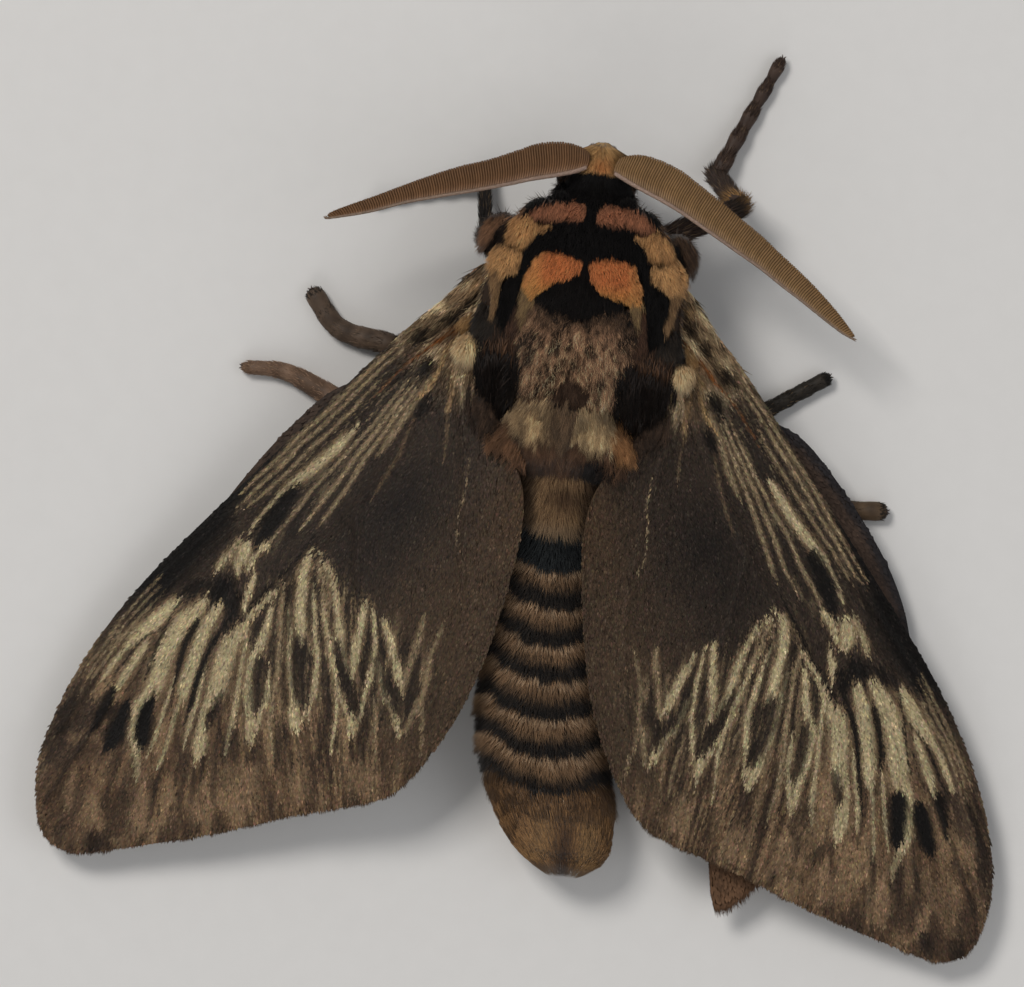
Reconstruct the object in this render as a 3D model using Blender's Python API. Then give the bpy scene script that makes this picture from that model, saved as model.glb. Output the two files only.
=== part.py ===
"""Flannel moth (Podalia fuscescens, male), life-size, at rest with its wings spread low.

All lengths in this script are millimetres; each finished mesh is scaled to metres.
The head points along -Y, the back is up (+Z), and the moth's own left side is at +X.
"""

import math
import random

import bmesh
import bpy
import numpy as np
from mathutils.geometry import delaunay_2d_cdt

METRES = 0.001
GAP = 0.3
SIDES = {"left": 1, "right": -1}

# Driving sizes. The other sizes were measured against the forewing's length.
FOREWING_LENGTH = 32.0
WING_THICKNESS = 0.5
THORAX_HALF_WIDTH = 3.9
LEAST_THICKNESS = 0.5

# Moves the whole moth so that the middle of its box stands over the origin.
CENTRE_X = 0.0
CENTRE_Y = 5.24

# Stations along the body: distance behind the middle of the thorax, sideways shift, half width,
# height of the underside, height of the top.
THORAX_STATIONS = [
    (-7.3, -0.05, 1.7, 3.3, 6.3),
    (-6.3, -0.05, 2.6, 2.7, 7.0),
    (-4.8, 0.0, 3.4, 2.1, 7.8),
    (-2.8, 0.0, 3.8, 1.7, 8.3),
    (-0.5, 0.0, THORAX_HALF_WIDTH, 1.5, 8.5),
    (1.8, 0.0, 3.6, 1.6, 8.1),
    (3.6, 0.0, 3.0, 1.9, 7.2),
    (4.9, 0.0, 2.4, 2.3, 6.3),
]
ABDOMEN_STATIONS = [
    (5.0, 0.0, 2.2, 2.0, 6.2),
    (6.5, -0.02, 2.35, 1.5, 6.1),
    (9.0, -0.16, 2.5, 1.1, 5.9),
    (12.8, -0.38, 2.7, 0.5, 5.6),
    (15.5, -0.6, 2.85, -0.2, 5.3),
    (17.3, -0.8, 2.85, -0.35, 5.0),
    (19.0, -1.1, 2.75, -0.15, 4.7),
    (20.5, -1.6, 2.4, 0.5, 4.2),
    (22.0, -2.1, 1.7, 1.1, 3.5),
    (23.0, -2.4, 0.9, 1.5, 2.9),
]
SEGMENT_ENDS = [5.2, 8.15, 9.75, 11.45, 13.1, 14.8, 16.5, 18.25, 20.05, 23.0]

# Plan outlines of the wings: distance out from the body's axis, distance behind the middle of the thorax.
WING_ROOT = (4.0, -2.8)
WING_APEX = (21.6, 24.4)
FOREWING_OUTLINE = [
    (4.3, -3.7),
    (6.4, -1.85),
    (8.5, 0.4),
    (12.6, 5.4),
    (16.3, 9.9),
    (18.5, 12.8),
    (20.3, 15.8),
    (21.5, 18.7),
    (22.1, 21.6),
    WING_APEX,
    (20.3, 25.25),
    (18.5, 25.0),
    (14.3, 23.8),
    (10.0, 22.25),
    (6.8, 21.25),
    (5.3, 20.2),
    (3.6, 17.5),
    (2.5, 14.6),
    (1.75, 11.0),
    (1.4, 7.8),
    (1.8, 5.6),
    (3.2, 3.9),
    (4.3, 2.6),
]
HINDWING_OUTLINE = [
    (7.0, 19.4),
    (5.6, 16.4),
    (5.0, 12.0),
    (4.6, 7.0),
    (4.5, 3.4),
    (4.5, 0.6),
    (7.0, 0.7),
    (9.0, 1.5),
    (10.9, 2.3),
    (12.8, 4.1),
    (14.4, 6.0),
    (15.8, 8.0),
    (16.8, 10.2),
    (17.3, 12.8),
    (16.8, 15.6),
    (15.2, 18.4),
    (12.6, 20.4),
]
HINDWING_REAR = {"left": [(9.8, 20.9)], "right": [(11.5, 22.6), (9.7, 24.2), (8.9, 21.6)]}
HINDWING_PIVOT = (4.5, 2.0)
HINDWING_SWING = {"left": 4.5, "right": 0.0}

# Forewing veins in plan, each from its stem or fork to the margin.
CELL_FRONT = (14.4, 10.6)
CELL_REAR = (13.5, 13.2)
RADIUS_FORK = (11.4, 6.2)
CUBITUS_FORK_1 = (11.6, 11.2)
CUBITUS_FORK_2 = (9.0, 7.8)
FOREWING_VEINS = {
    "subcosta": [(5.0, -2.6), (9.2, 2.0), (13.6, 7.4), (17.9, 12.5)],
    "radius_stem": [(5.0, -1.7), (8.3, 2.2), RADIUS_FORK, CELL_FRONT],
    "radius_1": [RADIUS_FORK, (15.8, 10.9), (20.1, 16.2)],
    "radius_2": [CELL_FRONT, (18.6, 14.9), (21.4, 19.8)],
    "radius_3": [CELL_FRONT, (18.3, 16.5), (21.5, 23.0)],
    "radius_4": [CELL_FRONT, (17.3, 17.2), (19.4, 24.7)],
    "media_1": [CELL_FRONT, (15.9, 16.8), (16.8, 24.2)],
    "cell_end": [CELL_FRONT, CELL_REAR],
    "media_2": [CELL_REAR, (14.6, 18.0), (14.4, 23.4)],
    "media_3": [CELL_REAR, (13.0, 17.8), (12.0, 22.5)],
    "cubitus_stem": [(5.0, -0.5), (6.7, 3.6), CUBITUS_FORK_2, CUBITUS_FORK_1, CELL_REAR],
    "cubitus_1": [CUBITUS_FORK_1, (10.9, 16.6), (9.6, 21.7)],
    "cubitus_2": [CUBITUS_FORK_2, (8.1, 14.2), (7.2, 20.9)],
    "anal": [(5.0, 1.6), (4.1, 7.2), (3.9, 12.5), (5.2, 19.4)],
}
HINDWING_VEINS = {
    "radius": [(5.2, 2.2), (9.0, 3.6), (12.6, 6.2), (16.2, 9.6)],
    "sector": [(9.0, 3.6), (12.8, 8.6), (16.6, 13.4)],
    "media": [(7.4, 5.2), (11.8, 11.0), (14.8, 17.8)],
    "cubitus": [(5.4, 3.2), (7.4, 5.2), (9.4, 13.0), (11.0, 19.8)],
    "anal": [(5.4, 4.6), (6.4, 11.0), (7.8, 18.8)],
}
VEIN_HEIGHT = 0.2
VEIN_HALF_WIDTH = 0.36

# Height of the forewing's upper face over its plan: it falls from the root to the tip and rolls up
# over the abdomen.
WING_ROOT_HEIGHT = 6.1
WING_FALL = 0.222
WING_FLARE = 0.0023
WING_ROLL = 0.40
WING_CAMBER = 0.009
WING_ROOT_DIP = 0.55
WING_ROOT_REACH = 3.5
CHORD_FRONT = -3.6
CHORD_REAR = 11.6
HINDWING_DROP = WING_THICKNESS + GAP + VEIN_HEIGHT + 0.05

HEAD_CENTRE = (-0.1, -8.75, 4.75)
HEAD_SIZE = (1.1, 1.15, 1.55)
EYE_RADIUS = 0.72
EYE_OFFSET = (1.95, -0.15, -0.1)
PALP_ROOT = (0.42, -0.6, -1.8)
PALP_TIP = (0.46, -1.1, -2.4)

# Each antenna: where its shaft leaves the head, a point that bows it, and its tip.
ANTENNA_PATHS = {
    "left": [(1.0, -9.0, 6.4), (5.2, -6.85, 7.3), (11.85, -5.0, 7.4)],
    "right": [(-1.2, -9.0, 6.4), (-5.6, -6.35, 6.5), (-12.55, -2.55, 4.6)],
}
ANTENNA_ROLL = {"left": 14.0, "right": 4.0}
SHAFT_RADII = (0.28, 0.25)
RAMUS_LENGTH = 1.35
RAMUS_WIDTH = 0.62
RAMUS_COUNT = 11
RAMUS_ROWS = (12.0, -30.0)
RAMUS_PROFILE = [
    (0.0, 0.8),
    (0.15, 1.0),
    (0.35, 0.97),
    (0.5, 0.86),
    (0.65, 0.7),
    (0.8, 0.55),
    (1.0, 0.3),
]

# Legs: where they leave the thorax (distance back, angle from the top), then knee, ankle and toe.
LEGS = {
    ("fore", "left"): ((-5.2, 112), (4.7, -5.0, 2.5), (5.1, -7.2, 0.85), (10.2, -6.1, 0.2)),
    ("fore", "right"): ((-5.6, 112), (-6.7, -8.2, 3.4), (-5.45, -9.3, 0.85), (-7.8, -14.7, 0.2)),
    ("mid", "left"): ((-1.2, 128), (5.9, -0.6, 1.9), (8.2, 0.35, 0.75), (12.4, -1.75, 0.2)),
    ("mid", "right"): ((-1.0, 128), (-5.5, 0.8, 1.9), (-7.9, 2.0, 0.75), (-11.8, -0.75, 0.2)),
    ("hind", "left"): ((1.8, 128), (5.7, 3.9, 1.9), (9.3, 3.75, 0.75), (15.1, 2.15, 0.2)),
    ("hind", "right"): ((1.8, 128), (-5.5, 5.0, 1.9), (-9.0, 5.6, 0.75), (-14.9, 5.2, 0.2)),
}
TOE_BOWS = {
    ("mid", "left"): (10.9, -0.15),
    ("mid", "right"): (-10.3, 0.3),
    ("hind", "left"): (12.9, 2.2),
}
TOE_HEIGHT = 0.3
FEMUR_RADII = (0.55, 0.5)
TIBIA_RADII = (0.5, 0.42)
TARSUS_RADIUS = 0.36
TARSOMERES = 5

COAT_SEED = 11


def clear_scene():
    for obj in list(bpy.data.objects):
        bpy.data.objects.remove(obj, do_unlink=True)


def make_material(name, colour, roughness):
    material = bpy.data.materials.new(name)
    material.use_nodes = True
    shader = material.node_tree.nodes["Principled BSDF"]
    shader.inputs["Base Color"].default_value = (*colour, 1.0)
    shader.inputs["Roughness"].default_value = roughness
    shader.inputs["Metallic"].default_value = 0.0
    return material


def make_materials():
    return {
        "wing": make_material("wing_scales", (0.075, 0.055, 0.042), 0.7),
        "coat": make_material("thorax_coat", (0.09, 0.065, 0.05), 0.85),
        "black": make_material("black_coat", (0.008, 0.007, 0.008), 0.8),
        "band": make_material("abdomen_coat", (0.16, 0.10, 0.065), 0.85),
        "gold": make_material("tail_tuft", (0.30, 0.19, 0.09), 0.8),
        "tan": make_material("head_tuft", (0.42, 0.24, 0.11), 0.8),
        "antenna": make_material("antenna_comb", (0.19, 0.11, 0.06), 0.6),
        "leg": make_material("leg_scales", (0.05, 0.038, 0.032), 0.8),
        "eye": make_material("eye_facets", (0.006, 0.005, 0.005), 0.15),
    }


def smooth_curve(points, count, closed=False):
    """Evenly spaced points on the Catmull-Rom curve through the given ones."""
    points = np.array(points, float)
    if closed:
        padded = np.vstack([points[-1], points, points[:2]])
    else:
        padded = np.vstack([2 * points[0] - points[1], points, 2 * points[-1] - points[-2]])
    fine = []
    for before, start, end, after in zip(padded, padded[1:], padded[2:], padded[3:]):
        for t in np.linspace(0, 1, 24, endpoint=False):
            fine.append(
                0.5
                * (
                    2 * start
                    + (end - before) * t
                    + (2 * before - 5 * start + 4 * end - after) * t**2
                    + (3 * start - before - 3 * end + after) * t**3
                )
            )
    fine.append(points[0] if closed else points[-1])
    fine = np.array(fine)
    along = np.concatenate([[0], np.cumsum(np.linalg.norm(np.diff(fine, axis=0), axis=1))])
    wanted = np.linspace(0, along[-1], count + 1)[:-1] if closed else np.linspace(0, along[-1], count)
    return np.column_stack([np.interp(wanted, along, fine[:, k]) for k in range(fine.shape[1])])


def unit(vector):
    return np.array(vector, float) / np.linalg.norm(vector)


def make_object(name, points, faces, material, smooth_angle=40):
    """A mesh object from points in millimetres, with its normals facing out."""
    mesh = bpy.data.meshes.new(name)
    shift = np.array([CENTRE_X, CENTRE_Y, 0.0])
    mesh.from_pydata(((np.array(points, float) - shift) * METRES).tolist(), [], [list(f) for f in faces])
    shaped = bmesh.new()
    shaped.from_mesh(mesh)
    bmesh.ops.recalc_face_normals(shaped, faces=shaped.faces)
    bmesh.ops.triangulate(shaped, faces=shaped.faces)
    shaped.to_mesh(mesh)
    shaped.free()
    mesh.shade_smooth()
    mesh.set_sharp_from_angle(angle=math.radians(smooth_angle))
    if material is not None:
        mesh.materials.append(material)
    obj = bpy.data.objects.new(name, mesh)
    bpy.context.scene.collection.objects.link(obj)
    return obj


def ring_faces(rings, sides):
    """Faces that join successive rings of points, with a flat cap at each end."""
    faces = []
    for ring in range(rings - 1):
        for k in range(sides):
            a, b = ring * sides + k, ring * sides + (k + 1) % sides
            faces.append((a, b, b + sides, a + sides))
    faces.append(tuple(range(sides)))
    faces.append(tuple((rings - 1) * sides + k for k in range(sides)))
    return faces


def tube(path, radii, sides=8):
    """Points and faces of a closed tube along a path."""
    path = np.array(path, float)
    points = []
    for k, centre in enumerate(path):
        tangent = unit(path[min(k + 1, len(path) - 1)] - path[max(k - 1, 0)])
        side = unit(np.cross(tangent, (0, 0, 1)))
        up = np.cross(side, tangent)
        for j in range(sides):
            turn = 2 * math.pi * (j + 0.5) / sides
            points.append(centre + radii[k] * (math.cos(turn) * side + math.sin(turn) * up))
    return points, ring_faces(len(path), sides)


def ellipsoid(centre, size, rings=8, sides=12):
    """Points and faces of a closed ellipsoid with its poles along Y."""
    points, faces = [np.array(centre, float) - (0, size[1], 0)], []
    for ring in range(1, rings):
        slide = math.pi * ring / rings
        for k in range(sides):
            turn = 2 * math.pi * k / sides
            points.append(
                np.array(centre)
                + (
                    size[0] * math.sin(slide) * math.cos(turn),
                    -size[1] * math.cos(slide),
                    size[2] * math.sin(slide) * math.sin(turn),
                )
            )
    points.append(np.array(centre, float) + (0, size[1], 0))
    last = len(points) - 1
    for k in range(sides):
        after = (k + 1) % sides
        faces.append((0, 1 + after, 1 + k))
        faces.append((last, last - sides + k, last - sides + after))
    for ring in range(rings - 2):
        for k in range(sides):
            a, b = 1 + ring * sides + k, 1 + ring * sides + (k + 1) % sides
            faces.append((a, b, b + sides, a + sides))
    return points, faces


class Loft:
    """A body of elliptical sections along Y, addressed by distance back and angle from the top."""

    def __init__(self, stations):
        table = np.array(stations, float)
        self.fine = smooth_curve(table, 160)
        self.start, self.end = table[0, 0], table[-1, 0]

    def section(self, back):
        """Centre x, centre z, half width and half height at a distance back."""
        shift, width, low, high = (np.interp(back, self.fine[:, 0], self.fine[:, k]) for k in (1, 2, 3, 4))
        return shift, (low + high) / 2, width, (high - low) / 2

    def point(self, back, angle, lift=0.0):
        shift, middle, width, height = self.section(back)
        sine, cosine = math.sin(math.radians(angle)), math.cos(math.radians(angle))
        outward = unit((sine / width, 0, cosine / height))
        return np.array([shift + width * sine, back, middle + height * cosine]) + lift * outward

    def outward(self, back, angle):
        return unit(self.point(back, angle, 0.1) - self.point(back, angle))

    def slice(self, start, end, rings, sides):
        """Points and faces of the closed body between two distances back."""
        places = np.linspace(start, end, rings)
        points = [self.point(back, 360 * k / sides) for back in places for k in range(sides)]
        return points, ring_faces(rings, sides)


THORAX = Loft(THORAX_STATIONS)
ABDOMEN = Loft(ABDOMEN_STATIONS)


def lock(path, outward, width, thickness, tip_share=0.35):
    """A flat, tapered lock along a path: lens-shaped sections that narrow to a blunt tip."""
    path = np.array(path, float)
    points = []
    last = len(path) - 1
    for k, centre in enumerate(path):
        tangent = unit(path[min(k + 1, last)] - path[max(k - 1, 0)])
        side = unit(np.cross(tangent, outward))
        up = np.cross(side, tangent)
        share = k / last
        narrow = 1 - (1 - tip_share) * share**1.6
        half = 0.5 * width * narrow
        for across, rise in ((-half, 0.0), (0.0, 0.55), (half, 0.0), (0.0, -0.45)):
            points.append(centre + across * side + rise * thickness * narrow * up)
    points.append(path[-1] + unit(path[-1] - path[-2]) * 0.35 * width)
    faces = ring_faces(len(path), 4)[:-1]
    tip, ring = len(points) - 1, last * 4
    faces += [(ring + k, ring + (k + 1) % 4, tip) for k in range(4)]
    return points, faces


def coat_lock(loft, back, angle, length, width, depth, lean=0.0, sink=0.35):
    """A lock rooted inside a loft that rises to the coat's depth and lies back along the body."""
    path = []
    for share in (0.0, 0.5, 1.0):
        place = back + length * share
        lift = -sink + (depth + sink) * math.sin(0.5 * math.pi * share) ** 0.8
        point = loft.point(min(place, loft.end), angle + lean * share, lift)
        point[1] = place
        path.append(point)
    return lock(path, loft.outward(min(back, loft.end), angle), width, LEAST_THICKNESS)


def forewing_local(out, back):
    """Distances along the wing from its root towards the apex, and across it towards the inner margin."""
    root, apex = np.array(WING_ROOT), np.array(WING_APEX)
    along = unit(apex - root)
    offset = np.array([out, back]) - root
    return offset @ along, offset @ np.array([-along[1], along[0]])


def forewing_height(out, back):
    """Height of the forewing's upper face, without its veins."""
    a, c = forewing_local(out, back)
    camber = WING_CAMBER * max(0.0, (c - CHORD_FRONT) * (CHORD_REAR - c))
    roll = WING_ROLL * (1 - min(a, FOREWING_LENGTH) / FOREWING_LENGTH) * c
    dip = WING_ROOT_DIP * math.exp(-(a * a + c * c) / (2 * WING_ROOT_REACH**2))
    return WING_ROOT_HEIGHT - WING_FALL * a + WING_FLARE * a * a + roll + camber - dip


def inside(outline, point):
    """Whether a plan point is inside a closed outline."""
    x, y = point
    crossings = 0
    for (x0, y0), (x1, y1) in zip(outline, np.roll(outline, -1, axis=0)):
        if (y0 > y) != (y1 > y) and x < x0 + (y - y0) * (x1 - x0) / (y1 - y0):
            crossings += 1
    return crossings % 2 == 1


def distance_to_line(points, line):
    """Least distance from each point to a polyline."""
    points, line = np.array(points, float), np.array(line, float)
    best = np.full(len(points), np.inf)
    for start, end in zip(line, line[1:]):
        span = end - start
        share = np.clip(((points - start) @ span) / (span @ span), 0, 1)
        best = np.minimum(best, np.linalg.norm(points - start - share[:, None] * span, axis=1))
    return best


def wing_plan(outline, veins, vein_step, fill_step):
    """Triangles over a wing's plan with edges along its veins, and how far each point is from them."""
    loop = np.vstack([outline, outline[:1]])
    lines = []
    for vein in veins:
        length = np.linalg.norm(np.diff(vein, axis=0), axis=1).sum()
        lines.append(smooth_curve(vein, max(2, round(length / vein_step) + 1)))
    points = [tuple(p) for p in outline]
    edges = [(k, (k + 1) % len(outline)) for k in range(len(outline))]

    def index_of(point, near):
        gaps = np.linalg.norm(np.array(points) - point, axis=1)
        if gaps.min() < near:
            return int(gaps.argmin())
        points.append(tuple(point))
        return len(points) - 1

    for line in lines:
        chain = [index_of(p, 0.35 * vein_step) for p in line]
        edges += [(a, b) for a, b in zip(chain, chain[1:]) if a != b]
    for line in lines:
        middles = line[1:-1]
        along = np.gradient(line, axis=0)[1:-1]
        across = np.column_stack([-along[:, 1], along[:, 0]]) / np.linalg.norm(along, axis=1)[:, None]
        for flank in np.vstack([middles + VEIN_HALF_WIDTH * across, middles - VEIN_HALF_WIDTH * across]):
            from_lines = min(distance_to_line([flank], other)[0] for other in lines)
            from_edge = distance_to_line([flank], loop)[0]
            if from_lines > 0.9 * VEIN_HALF_WIDTH and from_edge > 0.35 and inside(outline, flank):
                index_of(flank, 0.75 * VEIN_HALF_WIDTH)
    low, high = outline.min(axis=0), outline.max(axis=0)
    for row, y in enumerate(np.arange(low[1], high[1], fill_step * 0.87)):
        for x in np.arange(low[0] + (row % 2) * fill_step / 2, high[0], fill_step):
            if inside(outline, (x, y)) and distance_to_line([(x, y)], loop)[0] > 0.4 * fill_step:
                index_of(np.array((x, y)), 0.62 * fill_step)
    placed = delaunay_2d_cdt([(float(x), float(y)) for x, y in points], edges, [], 1, 1e-5)
    plan, faces = np.array([tuple(p) for p in placed[0]]), placed[2]
    from_vein = np.min([distance_to_line(plan, line) for line in lines], axis=0)
    return plan, faces, from_vein


def wing_solid(name, side, outline, veins, height, material, steps):
    """A membrane of even thickness with its veins raised on the upper face."""
    plan, faces, from_vein = wing_plan(outline, veins, *steps)
    base = np.array([height(x, y) for x, y in plan])
    ridge = VEIN_HEIGHT * np.clip(1 - from_vein / VEIN_HALF_WIDTH, 0, 1)
    mirrored = plan * (SIDES[side], 1)
    count = len(plan)
    upper = np.column_stack([mirrored, base + ridge])
    lower = np.column_stack([mirrored, base - WING_THICKNESS])
    solid = [tuple(f) for f in faces] + [tuple(count + k for k in reversed(f)) for f in faces]
    used = {}
    for face in faces:
        for a, b in zip(face, list(face[1:]) + [face[0]]):
            used[(a, b)] = True
    solid += [(b, a, a + count, b + count) for a, b in used if (b, a) not in used]
    return make_object(name, np.vstack([upper, lower]), solid, material, 25)


def swung(points, pivot, degrees):
    """Plan points turned about a pivot."""
    turn = math.radians(degrees)
    spin = np.array([[math.cos(turn), -math.sin(turn)], [math.sin(turn), math.cos(turn)]])
    return (np.array(points, float) - pivot) @ spin.T + pivot


def build_forewing(side, materials):
    outline = smooth_curve(FOREWING_OUTLINE, 56, closed=True)
    veins = FOREWING_VEINS.values()
    steps = (2.1, 3.2)
    return wing_solid(f"forewing_{side}", side, outline, veins, forewing_height, materials["wing"], steps)


def build_hindwing(side, materials):
    def place(points):
        return swung(points, HINDWING_PIVOT, HINDWING_SWING[side])

    def height(out, back):
        return forewing_height(out, back) - HINDWING_DROP

    outline = smooth_curve(place(HINDWING_OUTLINE + HINDWING_REAR[side]), 46, closed=True)
    veins = [place(vein) for vein in HINDWING_VEINS.values()]
    return wing_solid(f"hindwing_{side}", side, outline, veins, height, materials["wing"], (2.8, 3.8))


FOREWING_EDGE = smooth_curve(FOREWING_OUTLINE, 90, closed=True)


def clears_wings(points):
    """Whether no point lies in a forewing, in the hindwing under it, or within the gap round them."""
    for x, y, z in points:
        out, back = abs(x), y
        plan = (out, back)
        near = distance_to_line([plan], np.vstack([FOREWING_EDGE, FOREWING_EDGE[:1]]))[0] < GAP
        if not near and not inside(FOREWING_EDGE, plan):
            continue
        top = forewing_height(out, back)
        if top - WING_THICKNESS - GAP < z < top + VEIN_HEIGHT + GAP:
            return False
    return True


def join(name, core, pieces, material):
    """Fuses pieces into a core with one union and keeps the largest closed surface."""
    base = make_object(name, *core, material)
    helpers = bpy.data.collections.new(name + "_pieces")
    bpy.context.scene.collection.children.link(helpers)
    for k, piece in enumerate(pieces):
        helper = make_object(f"{name}_piece_{k}", *piece, None)
        bpy.context.scene.collection.objects.unlink(helper)
        helpers.objects.link(helper)
    union = base.modifiers.new("union", "BOOLEAN")
    union.operation = "UNION"
    union.operand_type = "COLLECTION"
    union.collection = helpers
    union.solver = "MANIFOLD"
    with bpy.context.temp_override(object=base):
        bpy.ops.object.modifier_apply(modifier=union.name)
    for helper in list(helpers.objects):
        bpy.data.objects.remove(helper, do_unlink=True)
    bpy.data.collections.remove(helpers)
    keep_largest(base.data)
    return base


def keep_largest(mesh):
    """Deletes every connected surface of a mesh but the one with the most faces."""
    shaped = bmesh.new()
    shaped.from_mesh(mesh)
    unseen, shells = set(shaped.faces), []
    while unseen:
        todo, shell = [unseen.pop()], []
        while todo:
            face = todo.pop()
            shell.append(face)
            for edge in face.edges:
                for other in edge.link_faces:
                    if other in unseen:
                        unseen.remove(other)
                        todo.append(other)
        shells.append(shell)
    largest = max(shells, key=len)
    extra = [face for shell in shells if shell is not largest for face in shell]
    if extra:
        bmesh.ops.delete(shaped, geom=extra, context="FACES")
    bmesh.ops.triangulate(shaped, faces=shaped.faces)
    shaped.to_mesh(mesh)
    shaped.free()


def build_thorax(materials):
    """The thorax with its coat: a collar, rows of locks that lie back, and tufts over the waist."""
    draw = random.Random(COAT_SEED)
    core = THORAX.slice(THORAX.start, THORAX.end, 11, 18)
    rows = [(-6.6, 54, 7, 1.3), (-5.5, 34, 4, 1.2)]
    rows += [(back, 30, 5, 2.2) for back in np.arange(-4.3, 2.0, 1.75)]
    rows.append((3.0, 32, 5, 2.4))
    locks = []
    for row, (back, spread, count, length) in enumerate(rows):
        for angle in np.linspace(-spread, spread, count) + (row % 2 - 0.5) * 3:
            depth = 0.55 * draw.uniform(0.85, 1.2)
            lean = draw.uniform(-2, 2)
            piece = coat_lock(THORAX, back, angle, length * draw.uniform(0.9, 1.1), 1.35, depth, lean)
            if clears_wings(piece[0]):
                locks.append(piece)
    return join("thorax", core, locks, materials["coat"])


def above_wing(point, room):
    """The point itself or, over a forewing, the nearest place above it that leaves this much room."""
    out, back, height = abs(point[0]), point[1], point[2]
    near = distance_to_line([(out, back)], np.vstack([FOREWING_EDGE, FOREWING_EDGE[:1]]))[0] < 0.7
    if near or inside(FOREWING_EDGE, (out, back)):
        height = max(height, forewing_height(out, back) + VEIN_HEIGHT + room)
    return np.array([point[0], back, height])


def build_tegula(side, materials):
    """The shoulder cover: a curved plate off the thorax that ends in a brush over the wing's root."""
    draw = random.Random(COAT_SEED + SIDES[side])
    sign = SIDES[side]
    inner, outer = 47, 69
    places = np.linspace(-4.6, 0.4, 7)
    angles = np.linspace(inner, outer, 4)
    under, over = (
        [[THORAX.point(back, sign * angle, lift) for angle in angles] for back in places]
        for lift in (GAP, GAP + LEAST_THICKNESS)
    )
    points = []
    for low, high in zip(under, over):
        points += high + low[::-1]
    core = (points, ring_faces(len(places), 8))
    locks = []
    for row, (back, length) in enumerate(((-4.3, 1.9), (-2.9, 1.9), (-1.4, 2.2), (-0.2, 3.2))):
        for angle in np.linspace(inner + 4, outer - 4, 2 if row % 2 else 3):
            path = []
            for share in (0, 0.5, 1.0):
                place = back + length * share
                lean = 4 * share if row > 1 else 0
                lift = GAP + 0.3 + 0.8 * share
                point = THORAX.point(min(place, THORAX.end), sign * (angle - lean), lift)
                point[1] = place
                path.append(above_wing(point, GAP + 0.6) if row > 1 and share else point)
            outward = THORAX.outward(back, sign * angle) + (0, 0, 0.5 * (row > 1))
            locks.append(lock(path, outward, draw.uniform(0.9, 1.1), LEAST_THICKNESS))
    return join(f"tegula_{side}", core, locks, materials["black"])


def build_abdomen(materials):
    """Each segment in its own node: a slice of the body with a fringe of locks along its rear."""
    draw = random.Random(COAT_SEED + 5)
    for number, (start, end) in enumerate(zip(SEGMENT_ENDS, SEGMENT_ENDS[1:]), 1):
        last = number == len(SEGMENT_ENDS) - 1
        core = ABDOMEN.slice(start, end - (0 if last else GAP), 6 if last else 3, 16)
        core = ([(x, y, max(z, 0.0)) for x, y, z in core[0]], core[1])
        locks = []
        rows = [(start + 0.2, end - start - 0.25, 0.5)]
        if last:
            rows = [(start + 0.35, 2.6, 0.45), (start + 1.6, 2.1, 0.4)]
        if number == 1:
            rows = [(start + 0.2, 1.7, 0.45), (start + 1.5, end - start - 1.55, 0.5)]
        for row, (back, length, depth) in enumerate(rows):
            count = (8 if last else 9) - 2 * row
            for angle in np.linspace(-120, 120, count) + 6 * (number % 2):
                angle += draw.uniform(-3, 3)
                reach, rise = length * draw.uniform(0.92, 1.04), depth * draw.uniform(0.85, 1.15)
                piece = coat_lock(ABDOMEN, back, angle, reach, 1.3, rise)
                if clears_wings(piece[0]) and min(p[2] for p in piece[0]) > 0.25:
                    locks.append(piece)
        name = "abdomen_tip" if last else f"abdomen_{number}"
        join(name, core, locks, materials["gold" if last else "band"])


def build_head(materials):
    """The small down-turned head with its tuft, the eyes, and the short palps."""
    draw = random.Random(COAT_SEED + 9)
    centre = np.array(HEAD_CENTRE)
    core = ellipsoid(centre, HEAD_SIZE, 8, 12)
    head = Loft(
        [
            (centre[1] - 1.1, centre[0], 0.35, centre[2] - 0.45, centre[2] + 0.55),
            (centre[1] - 0.7, centre[0], 0.95, centre[2] - 1.1, centre[2] + 1.2),
            (centre[1], centre[0], 1.2, centre[2] - 1.5, centre[2] + 1.5),
            (centre[1] + 0.7, centre[0], 0.95, centre[2] - 1.1, centre[2] + 1.2),
        ]
    )
    tuft = []
    for back in (-1.0, -0.6, -0.25):
        for angle in (-15, 15):
            rise = 0.35 * draw.uniform(0.9, 1.2)
            tuft.append(coat_lock(head, centre[1] + back, angle, 1.1, 0.6, rise, 0, 0.25))
    join("head", core, tuft, materials["tan"])
    for side, sign in SIDES.items():
        offset = np.array(EYE_OFFSET) * (sign, 1, 1)
        eye = ellipsoid(centre + offset, (EYE_RADIUS * 0.8, EYE_RADIUS, EYE_RADIUS), 7, 10)
        make_object(f"eye_{side}", *eye, materials["eye"])
        root = centre + np.array(PALP_ROOT) * (sign, 1, 1)
        tip = centre + np.array(PALP_TIP) * (sign, 1, 1)
        path = [root + (tip - root) * t for t in (0, 0.2, 0.7, 1)]
        make_object(f"palp_{side}", *tube(path, (0.2, 0.3, 0.3, 0.16), 8), materials["tan"])


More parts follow.
